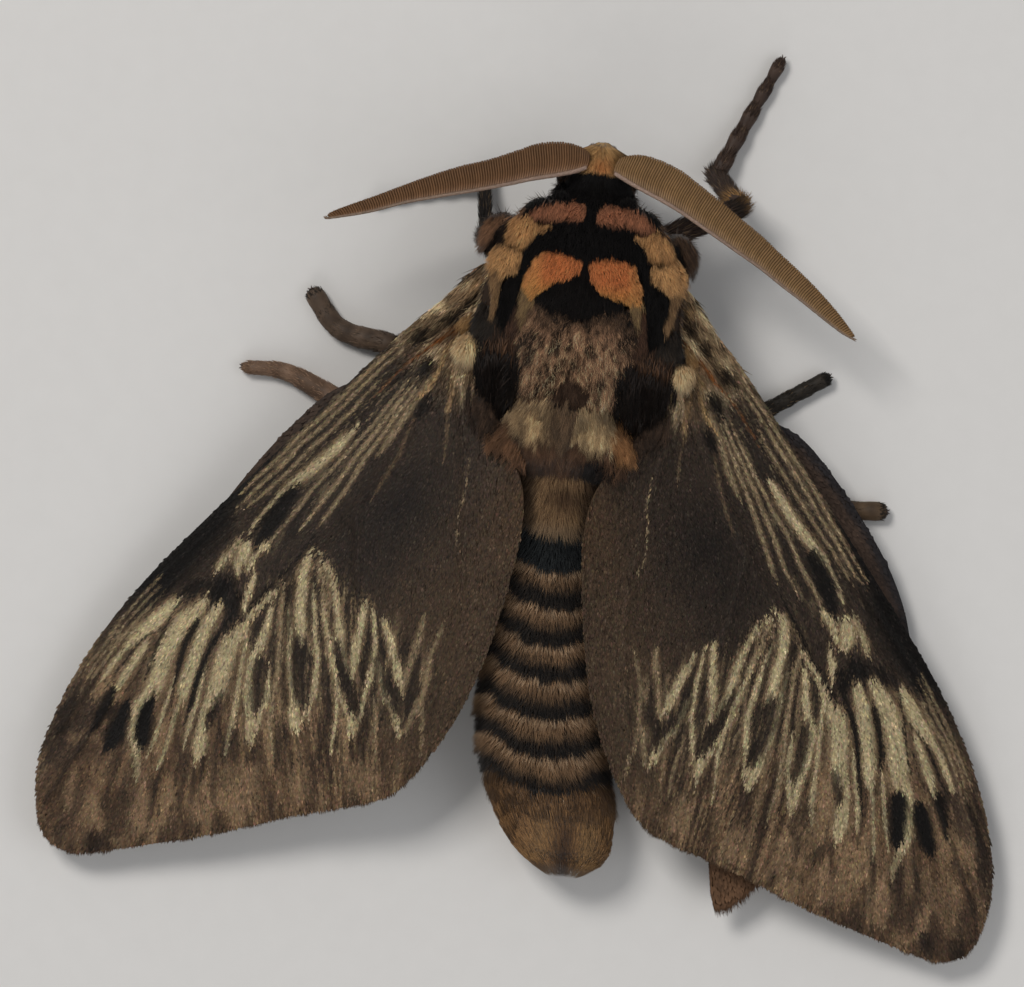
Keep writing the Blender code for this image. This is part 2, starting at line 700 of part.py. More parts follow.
def build_antenna(side, materials):
    """A tapering shaft with two rows of comb teeth that reach forward, one above the other."""
    path = smooth_curve(ANTENNA_PATHS[side], 9)
    sign = SIDES[side]
    shaft = tube(path, np.linspace(*SHAFT_RADII, len(path)), 6)
    fine = smooth_curve(ANTENNA_PATHS[side], 200)
    teeth = []
    for k in range(2 * RAMUS_COUNT):
        share = 0.1 + 0.88 * k / (2 * RAMUS_COUNT - 1)
        at = min(int(share * (len(fine) - 1)), len(fine) - 2)
        along = unit(fine[at + 1] - fine[at])
        forward = unit(np.cross(along, (0, 0, sign)))
        up = unit(np.cross(forward, along)) * sign
        length = RAMUS_LENGTH * np.interp(share, *zip(*RAMUS_PROFILE))
        tilt = math.radians(RAMUS_ROWS[k % 2] - ANTENNA_ROLL[side])
        reach = math.cos(tilt) * forward + math.sin(tilt) * up
        steps = [fine[at] + (reach + 0.22 * t * along) * length * t for t in (0.0, 0.5, 0.92)]
        teeth.append(lock(steps, np.cross(reach, along), RAMUS_WIDTH, LEAST_THICKNESS, 0.6))
    join(f"antenna_{side}", shaft, teeth, materials["antenna"])


def joint_room(before, after):
    """How far two bones end from the joint they share: half the gap, and more where it is bent."""
    bend = math.acos(np.clip(before @ after, -1, 1))
    return GAP / 2 + 0.4 * min(math.tan(bend / 2), 2.0)


def build_leg(pair, side, materials):
    """Femur, tibia and tarsus of one leg, each in its own node, with the toe's sole flat on the surface."""
    (back, angle), knee, ankle, toe = LEGS[pair, side]
    sign = SIDES[side]
    root = THORAX.point(back, sign * angle, GAP + 0.22)
    name = f"leg_{pair}_{side}"
    knee, ankle, toe = (np.array(p, float) for p in (knee, ankle, toe))

    def bone(start, end, radii):
        ends = np.array([start, end])
        along = unit(ends[1] - ends[0])
        length = np.linalg.norm(ends[1] - ends[0])
        shares = (0, 0.12, 0.5, 0.88, 1)
        sizes = [radii[0] * 0.7, radii[0], (radii[0] + radii[1]) / 2, radii[1], radii[1] * 0.7]
        return tube([ends[0] + along * length * s for s in shares], sizes, 6)

    middle = np.array([*TOE_BOWS.get((pair, side), (ankle + toe)[:2] / 2), TOE_HEIGHT])
    thigh, shin, foot = unit(knee - root), unit(ankle - knee), unit(middle - ankle)
    clear = joint_room(thigh, shin), joint_room(shin, foot)
    make_object(name + "_femur", *bone(root, knee - thigh * clear[0], FEMUR_RADII), materials["leg"])
    shin_ends = knee + shin * clear[0], ankle - shin * clear[1]
    make_object(name + "_tibia", *bone(*shin_ends, TIBIA_RADII), materials["leg"])
    path = smooth_curve([ankle + foot * clear[1], middle, toe], 2 * TARSOMERES + 1)
    radii = [TARSUS_RADIUS * (0.86 if k % 2 else 1.08) for k in range(2 * TARSOMERES)]
    radii.append(TARSUS_RADIUS * 0.75)
    points, faces = tube(path, radii, 6)
    points = [(x, y, max(z, 0.0)) for x, y, z in points]
    make_object(name + "_tarsus", points, faces, materials["leg"])


def build_moth():
    clear_scene()
    materials = make_materials()
    build_thorax(materials)
    build_abdomen(materials)
    build_head(materials)
    for side in SIDES:
        build_forewing(side, materials)
        build_hindwing(side, materials)
        build_tegula(side, materials)
        build_antenna(side, materials)
    for pair, side in LEGS:
        build_leg(pair, side, materials)


build_moth()
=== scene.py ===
"""Looks of the flannel moth: wings, coat, antennae, legs, light and camera.

Lengths are millimetres in the same script frame as the solids: x is the animal's left, y the
distance behind the middle of the thorax, z the height over the floor. make_mesh() turns them
into metres in the row frame.
"""

import math

import bpy
import numpy as np
from mathutils import Matrix
from mathutils.geometry import delaunay_2d_cdt


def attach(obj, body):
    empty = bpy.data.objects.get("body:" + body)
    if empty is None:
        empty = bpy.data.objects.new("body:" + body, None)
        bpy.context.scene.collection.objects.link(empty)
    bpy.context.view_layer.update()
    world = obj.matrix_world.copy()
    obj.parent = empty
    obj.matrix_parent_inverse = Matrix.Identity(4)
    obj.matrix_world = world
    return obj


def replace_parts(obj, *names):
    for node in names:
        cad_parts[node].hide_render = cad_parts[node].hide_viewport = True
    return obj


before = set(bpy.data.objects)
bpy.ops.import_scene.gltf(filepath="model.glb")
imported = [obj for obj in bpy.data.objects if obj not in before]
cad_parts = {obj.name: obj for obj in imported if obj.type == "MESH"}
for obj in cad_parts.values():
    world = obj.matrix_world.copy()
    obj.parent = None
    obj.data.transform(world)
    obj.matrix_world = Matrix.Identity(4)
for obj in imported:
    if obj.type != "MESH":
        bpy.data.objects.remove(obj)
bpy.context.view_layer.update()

METRES = 0.001
CENTRE_Y = 5.24
SIDES = {"left": 1, "right": -1}
PATCH = 0.003

# Stations along the body: distance back, sideways shift, half width, underside, top.
BODY_STATIONS = [
    (-9.95, -0.1, 0.4, 4.3, 5.3),
    (-9.5, -0.1, 0.95, 3.7, 6.0),
    (-8.8, -0.1, 1.2, 3.3, 6.3),
    (-8.1, -0.08, 1.25, 3.2, 6.2),
    (-7.3, -0.05, 1.75, 3.2, 6.3),
    (-6.3, -0.05, 2.6, 2.7, 7.0),
    (-4.8, 0.0, 3.4, 2.1, 7.8),
    (-2.8, 0.0, 3.8, 1.7, 8.3),
    (-0.5, 0.0, 3.9, 1.5, 8.5),
    (1.8, 0.0, 3.6, 1.6, 8.1),
    (3.6, 0.0, 3.0, 1.9, 7.2),
    (5.0, 0.0, 2.3, 2.1, 6.25),
    (6.5, -0.02, 2.35, 1.5, 6.1),
    (9.0, -0.16, 2.5, 1.1, 5.9),
    (12.8, -0.38, 2.7, 0.5, 5.6),
    (15.5, -0.6, 2.85, 0.1, 5.3),
    (17.3, -0.8, 2.85, 0.05, 5.0),
    (19.0, -1.1, 2.75, 0.1, 4.7),
    (20.5, -1.6, 2.4, 0.5, 4.2),
    (22.0, -2.1, 1.7, 1.1, 3.5),
    (23.0, -2.4, 0.9, 1.5, 2.9),
]
SEGMENT_ENDS = [5.2, 8.15, 9.75, 11.45, 13.1, 14.8, 16.5, 18.25, 20.05, 23.0]

WING_ROOT = (4.0, -2.8)
WING_APEX = (21.6, 24.4)
FOREWING_LENGTH = 32.0
FOREWING_OUTLINE = [
    (4.3, -3.7), (6.4, -1.85), (8.5, 0.4), (12.6, 5.4), (16.3, 9.9), (18.5, 12.8), (20.3, 15.8),
    (21.5, 18.7), (22.1, 21.6), WING_APEX, (20.3, 25.25), (18.5, 25.0), (14.3, 23.8), (10.0, 22.25),
    (6.8, 21.25), (5.3, 20.2), (3.6, 17.5), (2.5, 14.6), (1.75, 11.0), (1.4, 7.8), (1.8, 5.6),
    (3.2, 3.9), (4.3, 2.6),
]
HINDWING_OUTLINE = [
    (7.0, 19.4), (5.6, 16.4), (5.0, 12.0), (4.6, 7.0), (4.5, 3.4), (4.5, 0.6), (7.0, 0.7), (9.0, 1.5),
    (10.9, 2.3), (12.8, 4.1), (14.4, 6.0), (15.8, 8.0), (16.8, 10.2), (17.3, 12.8), (16.8, 15.6),
    (15.2, 18.4), (12.6, 20.4),
]
HINDWING_REAR = {"left": [(9.8, 20.9)], "right": [(11.5, 22.6), (9.7, 24.2), (8.9, 21.6)]}
HINDWING_PIVOT = (4.5, 2.0)
HINDWING_SWING = {"left": 4.5, "right": 0.0}
HINDWING_DROP = 1.05
CELL_FRONT = (14.4, 10.6)
CELL_REAR = (13.5, 13.2)
RADIUS_FORK = (11.4, 6.2)
CUBITUS_FORK_1 = (11.6, 11.2)
CUBITUS_FORK_2 = (9.0, 7.8)
FOREWING_VEINS = [
    [(5.0, -2.6), (9.2, 2.0), (13.6, 7.4), (17.9, 12.5)],
    [(5.0, -1.7), (8.3, 2.2), RADIUS_FORK, CELL_FRONT],
    [RADIUS_FORK, (15.8, 10.9), (20.1, 16.2)],
    [CELL_FRONT, (18.6, 14.9), (21.4, 19.8)],
    [CELL_FRONT, (18.3, 16.5), (21.5, 23.0)],
    [CELL_FRONT, (17.3, 17.2), (19.4, 24.7)],
    [CELL_FRONT, (15.9, 16.8), (16.8, 24.2)],
    [CELL_FRONT, CELL_REAR],
    [CELL_REAR, (14.6, 18.0), (14.4, 23.4)],
    [CELL_REAR, (13.0, 17.8), (12.0, 22.5)],
    [(5.0, -0.5), (6.7, 3.6), CUBITUS_FORK_2, CUBITUS_FORK_1, CELL_REAR],
    [CUBITUS_FORK_1, (10.9, 16.6), (9.6, 21.7)],
    [CUBITUS_FORK_2, (8.1, 14.2), (7.2, 20.9)],
    [(5.0, 1.6), (4.1, 7.2), (3.9, 12.5), (5.2, 19.4)],
]
HINDWING_VEINS = [
    [(5.2, 2.2), (9.0, 3.6), (12.6, 6.2), (16.2, 9.6)],
    [(9.0, 3.6), (12.8, 8.6), (16.6, 13.4)],
    [(7.4, 5.2), (11.8, 11.0), (14.8, 17.8)],
    [(5.4, 3.2), (7.4, 5.2), (9.4, 13.0), (11.0, 19.8)],
    [(5.4, 4.6), (6.4, 11.0), (7.8, 18.8)],
]

HEAD_CENTRE = (-0.1, -8.75, 4.75)
EYE_RADIUS = 0.72
EYE_OFFSET = (1.95, -0.15, -0.1)
PALP_ROOT = (0.42, -0.3, -0.8)
PALP_TIP = (0.46, -1.1, -2.4)
ANTENNA_PATHS = {
    "left": [(1.0, -9.0, 6.4), (5.2, -6.85, 7.3), (11.85, -5.0, 7.4)],
    "right": [(-1.2, -9.0, 6.4), (-5.6, -6.35, 6.5), (-12.55, -2.55, 4.6)],
}
ANTENNA_ROLL = {"left": 14.0, "right": 4.0}
RAMUS_ROWS = (12.0, -4.0)
RAMUS_COUNTS = {"left": 106, "right": 118}
# The shaft and the blade's outer edge, seen from above.
SHAFTS = {
    "left": [(0.56, -8.72), (1.1, -8.45), (2.13, -8.1), (3.02, -7.84), (3.9, -7.52), (5.23, -7.08),
             (6.82, -6.6), (8.51, -6.07), (10.09, -5.45), (11.68, -4.98), (11.96, -4.94)],
    "right": [(-0.75, -8.62), (-1.13, -8.43), (-2.03, -8.04), (-3.0, -7.66), (-3.97, -7.23),
              (-4.96, -6.71), (-5.95, -6.19), (-6.93, -5.67), (-7.92, -5.15), (-8.92, -4.54),
              (-9.91, -3.97), (-10.91, -3.36), (-11.9, -2.79), (-12.58, -2.51)],
}
BLADE_EDGES = {
    "left": [(0.42, -9.0), (0.5, -9.35), (0.83, -9.58), (1.41, -9.7), (2.05, -9.68), (2.95, -9.47),
             (3.64, -9.12), (4.94, -8.5), (6.26, -8.01), (8.0, -7.19), (9.73, -6.28), (10.95, -5.67),
             (11.71, -5.26), (12.0, -5.0)],
    "right": [(-0.7, -8.95), (-0.85, -9.25), (-1.38, -9.5), (-2.02, -9.56), (-2.77, -9.43),
              (-3.74, -9.09), (-4.74, -8.5), (-5.73, -7.91), (-6.73, -7.26), (-7.73, -6.64),
              (-8.75, -5.9), (-9.75, -5.2), (-10.78, -4.4), (-11.82, -3.47), (-12.5, -2.75),
              (-12.62, -2.6)],
}

# Hip (distance back and angle from the top of the body), knee, ankle and toe of each leg.
LEGS = {
    ("fore", "left"): ((-5.2, 112), (4.7, -5.0, 2.5), (5.1, -7.7, 0.85), (10.2, -6.1, 0.2)),
    ("fore", "right"): ((-5.6, 112), (-6.6, -7.85, 3.4), (-5.45, -9.3, 0.85), (-7.82, -15.04, 0.2)),
    ("mid", "left"): ((-1.2, 128), (5.9, -0.6, 1.9), (8.2, 0.35, 0.75), (12.4, -1.75, 0.2)),
    ("mid", "right"): ((-1.0, 128), (-5.5, 0.8, 1.9), (-7.9, 2.0, 0.75), (-11.8, -0.75, 0.2)),
    ("hind", "left"): ((1.8, 128), (5.7, 3.9, 1.9), (9.3, 3.75, 0.75), (15.1, 2.15, 0.2)),
    ("hind", "right"): ((1.8, 128), (-5.5, 5.0, 1.9), (-9.0, 5.6, 0.75), (-15.18, 5.08, 0.2)),
}
# Where a foot bends between ankle and toe, if it isn't straight.
TOE_BOWS = {
    ("mid", "left"): (10.9, -0.15),
    ("mid", "right"): (-10.3, 0.3),
    ("hind", "left"): (12.9, 2.2),
}


# Basic helpers


def unit(vectors):
    vectors = np.asarray(vectors, float)
    return vectors / np.maximum(np.linalg.norm(vectors, axis=-1, keepdims=True), 1e-9)


def columns(*parts):
    return np.column_stack(parts)


def tone(red, green, blue):
    """Linear colour from display values of 0 to 255."""
    value = np.array([red, green, blue], float) / 255
    return np.where(value <= 0.04045, value / 12.92, ((value + 0.055) / 1.055) ** 2.4)


def ease(low, high, value):
    share = np.clip((value - low) / (high - low), 0, 1)
    return share * share * (3 - 2 * share)


def blend(first, second, share):
    return first + (second - first) * np.asarray(share)[..., None]


def bump_at(value, middle, width):
    """1 at the middle, falling off smoothly on both sides."""
    return np.exp(-(((value - middle) / width) ** 2))


def cloud(points, size, seed=0):
    """Smooth noise from -1 to 1 over points of two or three numbers."""
    points = np.asarray(points, float) / size + 31.7 * seed
    cell = np.floor(points).astype(np.int64)
    part = points - cell
    part = part * part * (3 - 2 * part)
    total = np.zeros(points.shape[:-1])
    for corner in np.ndindex(*(2,) * points.shape[-1]):
        weight = np.ones(points.shape[:-1])
        for axis, far in enumerate(corner):
            weight = weight * (part[..., axis] if far else 1 - part[..., axis])
        index = ((cell + np.array(corner)) * NOISE_STEPS[: points.shape[-1]]).sum(-1) % len(NOISE)
        total += weight * NOISE[index]
    return 2 * total - 1


def smooth_curve(points, count, closed=False):
    """Evenly spaced points on the Catmull-Rom curve through the given ones."""
    points = np.array(points, float)
    if closed:
        padded = np.vstack([points[-1], points, points[:2]])
    else:
        padded = np.vstack([2 * points[0] - points[1], points, 2 * points[-1] - points[-2]])
    fine = []
    for before, start, end, after in zip(padded, padded[1:], padded[2:], padded[3:]):
        for t in np.linspace(0, 1, 24, endpoint=False):
            square = (2 * before - 5 * start + 4 * end - after) * t**2
            cube = (3 * start - before - 3 * end + after) * t**3
            fine.append(0.5 * (2 * start + (end - before) * t + square + cube))
    fine.append(points[0] if closed else points[-1])
    fine = np.array(fine)
    along = lengths_of(fine)
    wanted = np.linspace(0, along[-1], count + 1)[:-1] if closed else np.linspace(0, along[-1], count)
    return between(wanted, along, fine)


def lengths_of(path):
    """How far along a path each of its points is."""
    return np.concatenate([[0], np.cumsum(np.linalg.norm(np.diff(path, axis=0), axis=1))])


def between(wanted, places, path):
    """Points of a path at the wanted places, where places says where its own points are."""
    return columns(*(np.interp(wanted, places, values) for values in path.T))


def at_share(path, share):
    """Points of a path at shares of its length from 0 to 1."""
    return between(share, np.linspace(0, 1, len(path)), path)


def closed_loop(outline):
    return np.vstack([outline, outline[:1]])


def inside(outline, x, y):
    """Which plan points are inside a closed outline."""
    found = np.zeros(np.shape(x), bool)
    for (x0, y0), (x1, y1) in zip(outline, np.roll(outline, -1, axis=0)):
        if y0 != y1:
            found ^= ((y0 > y) != (y1 > y)) & (x < x0 + (y - y0) * (x1 - x0) / (y1 - y0))
    return found


def to_line(points, line):
    """Distance from plan points to a polyline, and how far along it the nearest place is, 0 to 1."""
    line = np.asarray(line, float)
    starts = lengths_of(line)
    best, place = np.full(len(points), 1e9), np.zeros(len(points))
    for start, end, before, length in zip(line, line[1:], starts, np.diff(starts)):
        span = end - start
        share = np.clip(((points - start) @ span) / max(span @ span, 1e-12), 0, 1)
        gap = np.linalg.norm(points - start - share[:, None] * span, axis=1)
        nearer = gap < best
        best[nearer] = gap[nearer]
        place[nearer] = (before + share[nearer] * length) / starts[-1]
    return best, place


def around(first, second, turn):
    """Directions at an angle from the first axis towards the second."""
    return np.cos(turn)[:, None] * first + np.sin(turn)[:, None] * second


def ring_faces(rows, sides):
    """Triangles of a skin over rings of points, whose last two points close its ends."""
    index = np.arange(rows * sides).reshape(rows, sides)
    following = np.roll(index, -1, axis=1)
    quads = np.stack([index[:-1], following[:-1], following[1:], index[1:]], axis=-1).reshape(-1, 4)
    end = np.full(sides, rows * sides)
    return np.vstack([
        quads[:, [0, 1, 2]], quads[:, [0, 2, 3]],
        columns(following[0], index[0], end), columns(index[-1], following[-1], end + 1),
    ])


def make_mesh(name, points, faces, material, tones=None, spread=None, smooth=True, slot=None):
    """An object from points in script millimetres that rides on the body. spread is the unwrap."""
    mesh = bpy.data.meshes.new(name)
    points = (np.asarray(points, float) - (0, CENTRE_Y, 0)) * METRES
    faces = np.asarray(faces, np.int32)
    mesh.vertices.add(len(points))
    mesh.vertices.foreach_set("co", points.astype(np.float32).ravel())
    mesh.loops.add(faces.size)
    mesh.loops.foreach_set("vertex_index", faces.ravel())
    mesh.polygons.add(len(faces))
    mesh.polygons.foreach_set("loop_start", np.arange(0, faces.size, faces.shape[1], dtype=np.int32))
    mesh.update(calc_edges=True)
    if smooth:
        mesh.shade_smooth()
    else:
        mesh.shade_flat()
    if tones is not None:
        layer = mesh.color_attributes.new("tone", "FLOAT_COLOR", "POINT")
        layer.data.foreach_set("color", columns(tones, np.ones(len(points))).ravel())
    if spread is not None:
        layer = mesh.uv_layers.new(name="OFBake")
        layer.data.foreach_set("uv", np.asarray(spread, float)[faces.ravel()].ravel())
    mesh.materials.append(MATERIALS[material])
    obj = bpy.data.objects.new(name, mesh)
    bpy.context.scene.collection.objects.link(obj)
    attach(obj, "root")
    return obj


def many_solids(name, points, one, patch, tones, places, material, smooth, slot):
    """A piece of many small solids with the same faces. Each is a patch at its place on the unwrap."""
    faces = np.array(one) + points.shape[1] * np.arange(len(points))[:, None, None]
    spread = places[:, None] + (np.array(patch) - 0.5) * PATCH
    return make_mesh(
        name, points.reshape(-1, 3), faces.reshape(-1, 3), material, tones.reshape(-1, 3).clip(0, 1),
        spread.reshape(-1, 2), smooth, slot,
    )


def hair_piece(name, root, middle, tip, outward, width, tones, places, material, slot, flat=0.6,
               shade=(0.5, 1, 1.12)):
    """Closed, tapered hairs: three points round the root, three round the middle, and the tip.

    Without a middle they are straight. places are the roots on the unwrap, and shade gives how dark
    root, middle and tip are: painted shade, deepest at the roots.
    """
    side = unit(np.cross(unit(tip - root), outward))
    up = np.cross(side, unit(tip - root))
    width = np.broadcast_to(width, (len(root),))[:, None]
    if middle is None:
        rings, one, patch = [(root, 0.5, shade[0])], STRAIGHT_FACES, STRAIGHT_PATCH
    else:
        rings, one, patch = [(root, 0.42, shade[0]), (middle, 0.5, shade[1])], BENT_FACES, BENT_PATCH
    points, depth = [], []
    for centre, size, dark in rings:
        for turn in (0.5 * math.pi, 7 * math.pi / 6, 11 * math.pi / 6):
            points.append(centre + size * width * (math.cos(turn) * side + flat * math.sin(turn) * up))
            depth.append(dark)
    tones = tones[:, None] * np.array([*depth, shade[2]])[:, None]
    many_solids(name, np.stack([*points, tip], axis=1), one, patch, tones, places, material, True, slot)


def scale_piece(name, root, along, outward, length, width, lift, tones, places, material, slot):
    """Closed, keeled scales of four faces that lie along the surface with their tips a little up."""
    side = unit(np.cross(along, outward))
    length, width, lift = (np.broadcast_to(v, (len(root),))[:, None] for v in (length, width, lift))
    middle = root + 0.5 * length * along + 0.25 * lift * outward
    points = np.stack([
        root - SCALE_SINK * outward, middle - 0.5 * width * side, middle + 0.5 * width * side,
        root + length * along + lift * outward,
    ], axis=1)
    tones = np.repeat(tones, 4, axis=0)
    many_solids(name, points, SCALE_FACES, SCALE_PATCH, tones, places, material, False, slot)


NOISE = np.random.default_rng(5).random(8192)
NOISE_STEPS = np.array([1, 157, 113 * 67])
BENT_FACES = [
    (0, 1, 4), (0, 4, 3), (1, 2, 5), (1, 5, 4), (2, 0, 3), (2, 3, 5), (3, 4, 6), (4, 5, 6), (5, 3, 6),
    (0, 2, 1),
]
BENT_PATCH = [(0.5, 0.15), (0, 0), (1, 0), (0.5, 0.65), (0, 0.5), (1, 0.5), (0.5, 1)]
STRAIGHT_FACES = [(0, 1, 3), (1, 2, 3), (2, 0, 3), (0, 2, 1)]
STRAIGHT_PATCH = [(0.5, 0.4), (0, 0), (1, 0), (0.5, 1)]
SCALE_FACES = [(0, 3, 1), (0, 2, 3), (0, 1, 2), (1, 3, 2)]
SCALE_PATCH = [(0.5, 0), (0, 0.5), (1, 0.5), (0.5, 1)]
SCALE_SINK = 0.012


# Materials


def new_material(name):
    """A new material with its node tree and shader."""
    material = bpy.data.materials.new(name)
    material.use_nodes = True
    return material, material.node_tree, material.node_tree.nodes["Principled BSDF"]


def wire(tree, node, values, sources=None):
    """Sets values on a node's inputs and links other nodes' outputs to more of them."""
    for socket, value in values.items():
        node.inputs[socket].default_value = value
    for socket, source in (sources or {}).items():
        tree.links.new(source, node.inputs[socket])
    return node


def add(tree, kind, values, sources, **settings):
    node = tree.nodes.new("ShaderNode" + kind)
    for setting, value in settings.items():
        setattr(node, setting, value)
    return wire(tree, node, values, sources)


def object_place(tree):
    return tree.nodes.new("ShaderNodeTexCoord").outputs["Object"]


def two_tones(tree, source, first, second, position=1.0):
    """Colours between two tones by a value."""
    ramp = add(tree, "ValToRGB", {}, {"Fac": source})
    ramp.color_ramp.elements[0].color = (*first, 1)
    ramp.color_ramp.elements[1].color = (*second, 1)
    ramp.color_ramp.elements[1].position = position
    return ramp.outputs["Color"]


def coat_material(name, roughness, grain, contrast, bump, sheen, specular):
    """Colour from the tones that the shape carries, broken up by grain in colour, gloss and relief."""
    material, tree, shader = new_material(name)
    place = {"Vector": object_place(tree)}
    fine = add(tree, "TexNoise", {"Scale": grain, "Detail": 3.0}, place).outputs["Fac"]
    broad = add(tree, "TexNoise", {"Scale": grain / 7, "Detail": 2.0}, place).outputs["Fac"]
    part = add(tree, "Math", {1: 0.35}, {0: broad}, operation="MULTIPLY").outputs[0]
    both = add(tree, "Math", {1: 0.65}, {0: fine, 2: part}, operation="MULTIPLY_ADD").outputs[0]
    low, high = 1 - contrast, 1 + contrast
    shade = add(tree, "MapRange", {"From Min": 0.3, "From Max": 0.7, "To Min": low, "To Max": high},
                {"Value": both}).outputs["Result"]
    own = add(tree, "Attribute", {}, {}, attribute_name="tone").outputs["Color"]
    tinted = add(tree, "VectorMath", {}, {0: own, "Scale": shade}, operation="SCALE").outputs["Vector"]
    low, high = max(0.05, roughness - 0.1), min(1.0, roughness + 0.1)
    gloss = add(tree, "MapRange", {"To Min": low, "To Max": high}, {"Value": fine}).outputs["Result"]
    wire(tree, shader, {"Specular IOR Level": specular, "Sheen Weight": sheen, "Sheen Roughness": 0.4},
         {"Base Color": tinted, "Roughness": gloss})
    if bump:
        relief = add(tree, "Bump", {"Strength": bump, "Distance": 0.00004}, {"Height": fine})
        wire(tree, shader, {}, {"Normal": relief.outputs["Normal"]})
    return material


def plain_floor_material():
    material, tree, shader = new_material("pale_floor")
    fine = add(tree, "TexNoise", {"Scale": 900.0}, {"Vector": object_place(tree)}).outputs["Fac"]
    colour = two_tones(tree, fine, (0.74, 0.732, 0.72), (0.77, 0.762, 0.75))
    wire(tree, shader, {"Roughness": 0.85, "Specular IOR Level": 0.2}, {"Base Color": colour})
    return material


def eye_material():
    """Dark, glossy, with the fine net of facets of a compound eye."""
    material, tree, shader = new_material("eye_facets_look")
    net = add(tree, "TexVoronoi", {"Scale": 16000.0}, {"Vector": object_place(tree)},
              feature="DISTANCE_TO_EDGE").outputs["Distance"]
    colour = two_tones(tree, net, (0.006, 0.004, 0.003), (0.045, 0.028, 0.018), 0.3)
    relief = add(tree, "Bump", {"Strength": 0.5, "Distance": 0.00001}, {"Height": net})
    wire(tree, shader, {"Roughness": 0.42, "Specular IOR Level": 0.35},
         {"Base Color": colour, "Normal": relief.outputs["Normal"]})
    return material


# Each coat material: its name, roughness, grain, contrast, relief, sheen and specular level.
MATERIALS = {
    "wing": coat_material("wing_scales_look", 0.62, 5200.0, 0.3, 0.5, 0.0, 0.16),
    "wing_skin": coat_material("wing_skin_look", 0.75, 6500.0, 0.4, 0.9, 0.0, 0.15),
    "hair": coat_material("body_hair_look", 0.55, 2500.0, 0.16, 0.0, 0.1, 0.25),
    "bristle": coat_material("bristle_look", 0.36, 2500.0, 0.22, 0.0, 0.0, 0.3),
    "black": coat_material("black_hair_look", 0.5, 2500.0, 0.2, 0.0, 0.0, 0.2),
    "skin": coat_material("body_skin_look", 0.8, 3000.0, 0.25, 0.8, 0.0, 0.15),
    "comb": coat_material("antenna_comb_look", 0.55, 6000.0, 0.18, 0.2, 0.0, 0.25),
    "leg": coat_material("leg_scales_look", 0.6, 3500.0, 0.25, 0.4, 0.0, 0.25),
    "claw": coat_material("claw_look", 0.3, 5000.0, 0.15, 0.2, 0.0, 0.6),
    "eye": eye_material(),
}


# The forewing's shape


ROOT, APEX = np.array(WING_ROOT), np.array(WING_APEX)
ALONG = unit(APEX - ROOT)
ACROSS = np.array([-ALONG[1], ALONG[0]])
FOREWING_EDGE = smooth_curve(FOREWING_OUTLINE, 260, closed=True)
VEIN_LINES = [smooth_curve(vein, 40) for vein in FOREWING_VEINS]


def to_local(plan):
    """Distance along the wing from its root, and across it towards the inner margin."""
    offset = np.asarray(plan, float) - ROOT
    return columns(offset @ ALONG, offset @ ACROSS)


def wing_height(out, back):
    """Height of the forewing's upper face without veins."""
    a, c = to_local(columns(np.ravel(out), np.ravel(back))).T
    camber = 0.009 * np.maximum(0.0, (c + 3.6) * (11.6 - c))
    roll = 0.40 * (1 - np.minimum(a, FOREWING_LENGTH) / FOREWING_LENGTH) * c
    dip = 0.55 * np.exp(-(a * a + c * c) / (2 * 3.5**2))
    return (6.1 - 0.222 * a + 0.0023 * a * a + roll + camber - dip).reshape(np.shape(out))


def vein_relief(plan, lines, height, half_width):
    """Ridges over the veins and a slight fall of the membrane between them."""
    gap = np.min([to_line(plan, line)[0] for line in lines], axis=0)
    return height * bump_at(gap, 0, half_width) - 0.05 * ease(0.3, 1.6, gap)


def forewing_surface(out, back):
    """Upper face of the dressed forewing with its veins."""
    return wing_height(out, back) + vein_relief(columns(out, back), VEIN_LINES, 0.1, 0.22)


def vein_flow(lines):
    """A function that gives the lie of the scales in plan: along the nearest veins, away from the root."""
    middles = np.vstack([(line[1:] + line[:-1]) / 2 for line in lines])
    ways = np.vstack([unit(np.diff(line, axis=0)) for line in lines])
    ways = ways * np.sign(ways @ ALONG)[:, None]

    def flow(plan):
        parts = []
        for start in range(0, len(plan), 4000):
            gap = ((plan[start : start + 4000, None] - middles) ** 2).sum(-1)
            parts.append((1 / (gap + 0.3) ** 1.5) @ ways)
        return unit(np.vstack(parts))

    return flow


def trace_lanes():
    """Where the line of flow through each place of a grid crosses a fixed distance along the wing."""
    xs, ys = (low + LANE_STEP * np.arange(count) for low, count in zip(LANE_LOW, LANE_COUNTS))
    places = np.stack(np.meshgrid(xs, ys, indexing="ij"), axis=-1).reshape(-1, 2)
    field = wing_flow(places).reshape(*LANE_COUNTS, 2)
    for _ in range(130):
        short = LANE_REFERENCE - to_local(places)[:, 0]
        way = unit(sample_grid(field, places))
        places = places + way * np.clip(short / np.maximum(way @ ALONG, 0.35), -0.3, 0.3)[:, None]
    return to_local(places)[:, 1].reshape(LANE_COUNTS), field


def sample_grid(values, plan):
    """Values of the lanes' grid at plan places, blended between its nodes."""
    spot = np.clip((np.asarray(plan) - LANE_LOW) / LANE_STEP, 0, np.array(LANE_COUNTS) - 1.001)
    node = spot.astype(int)
    part = spot - node
    total = 0.0
    for i, j in np.ndindex(2, 2):
        weight = (part[:, 0] if i else 1 - part[:, 0]) * (part[:, 1] if j else 1 - part[:, 1])
        found = values[node[:, 0] + i, node[:, 1] + j]
        total = total + (weight[:, None] * found if found.ndim == 2 else weight * found)
    return total


LANE_LOW, LANE_STEP, LANE_COUNTS, LANE_REFERENCE = np.array([0.0, -6.0]), 0.25, (98, 138), 20.0
wing_flow = vein_flow(VEIN_LINES)
LANES, FLOW_FIELD = trace_lanes()


# The forewing's markings, in distances along the wing and across it

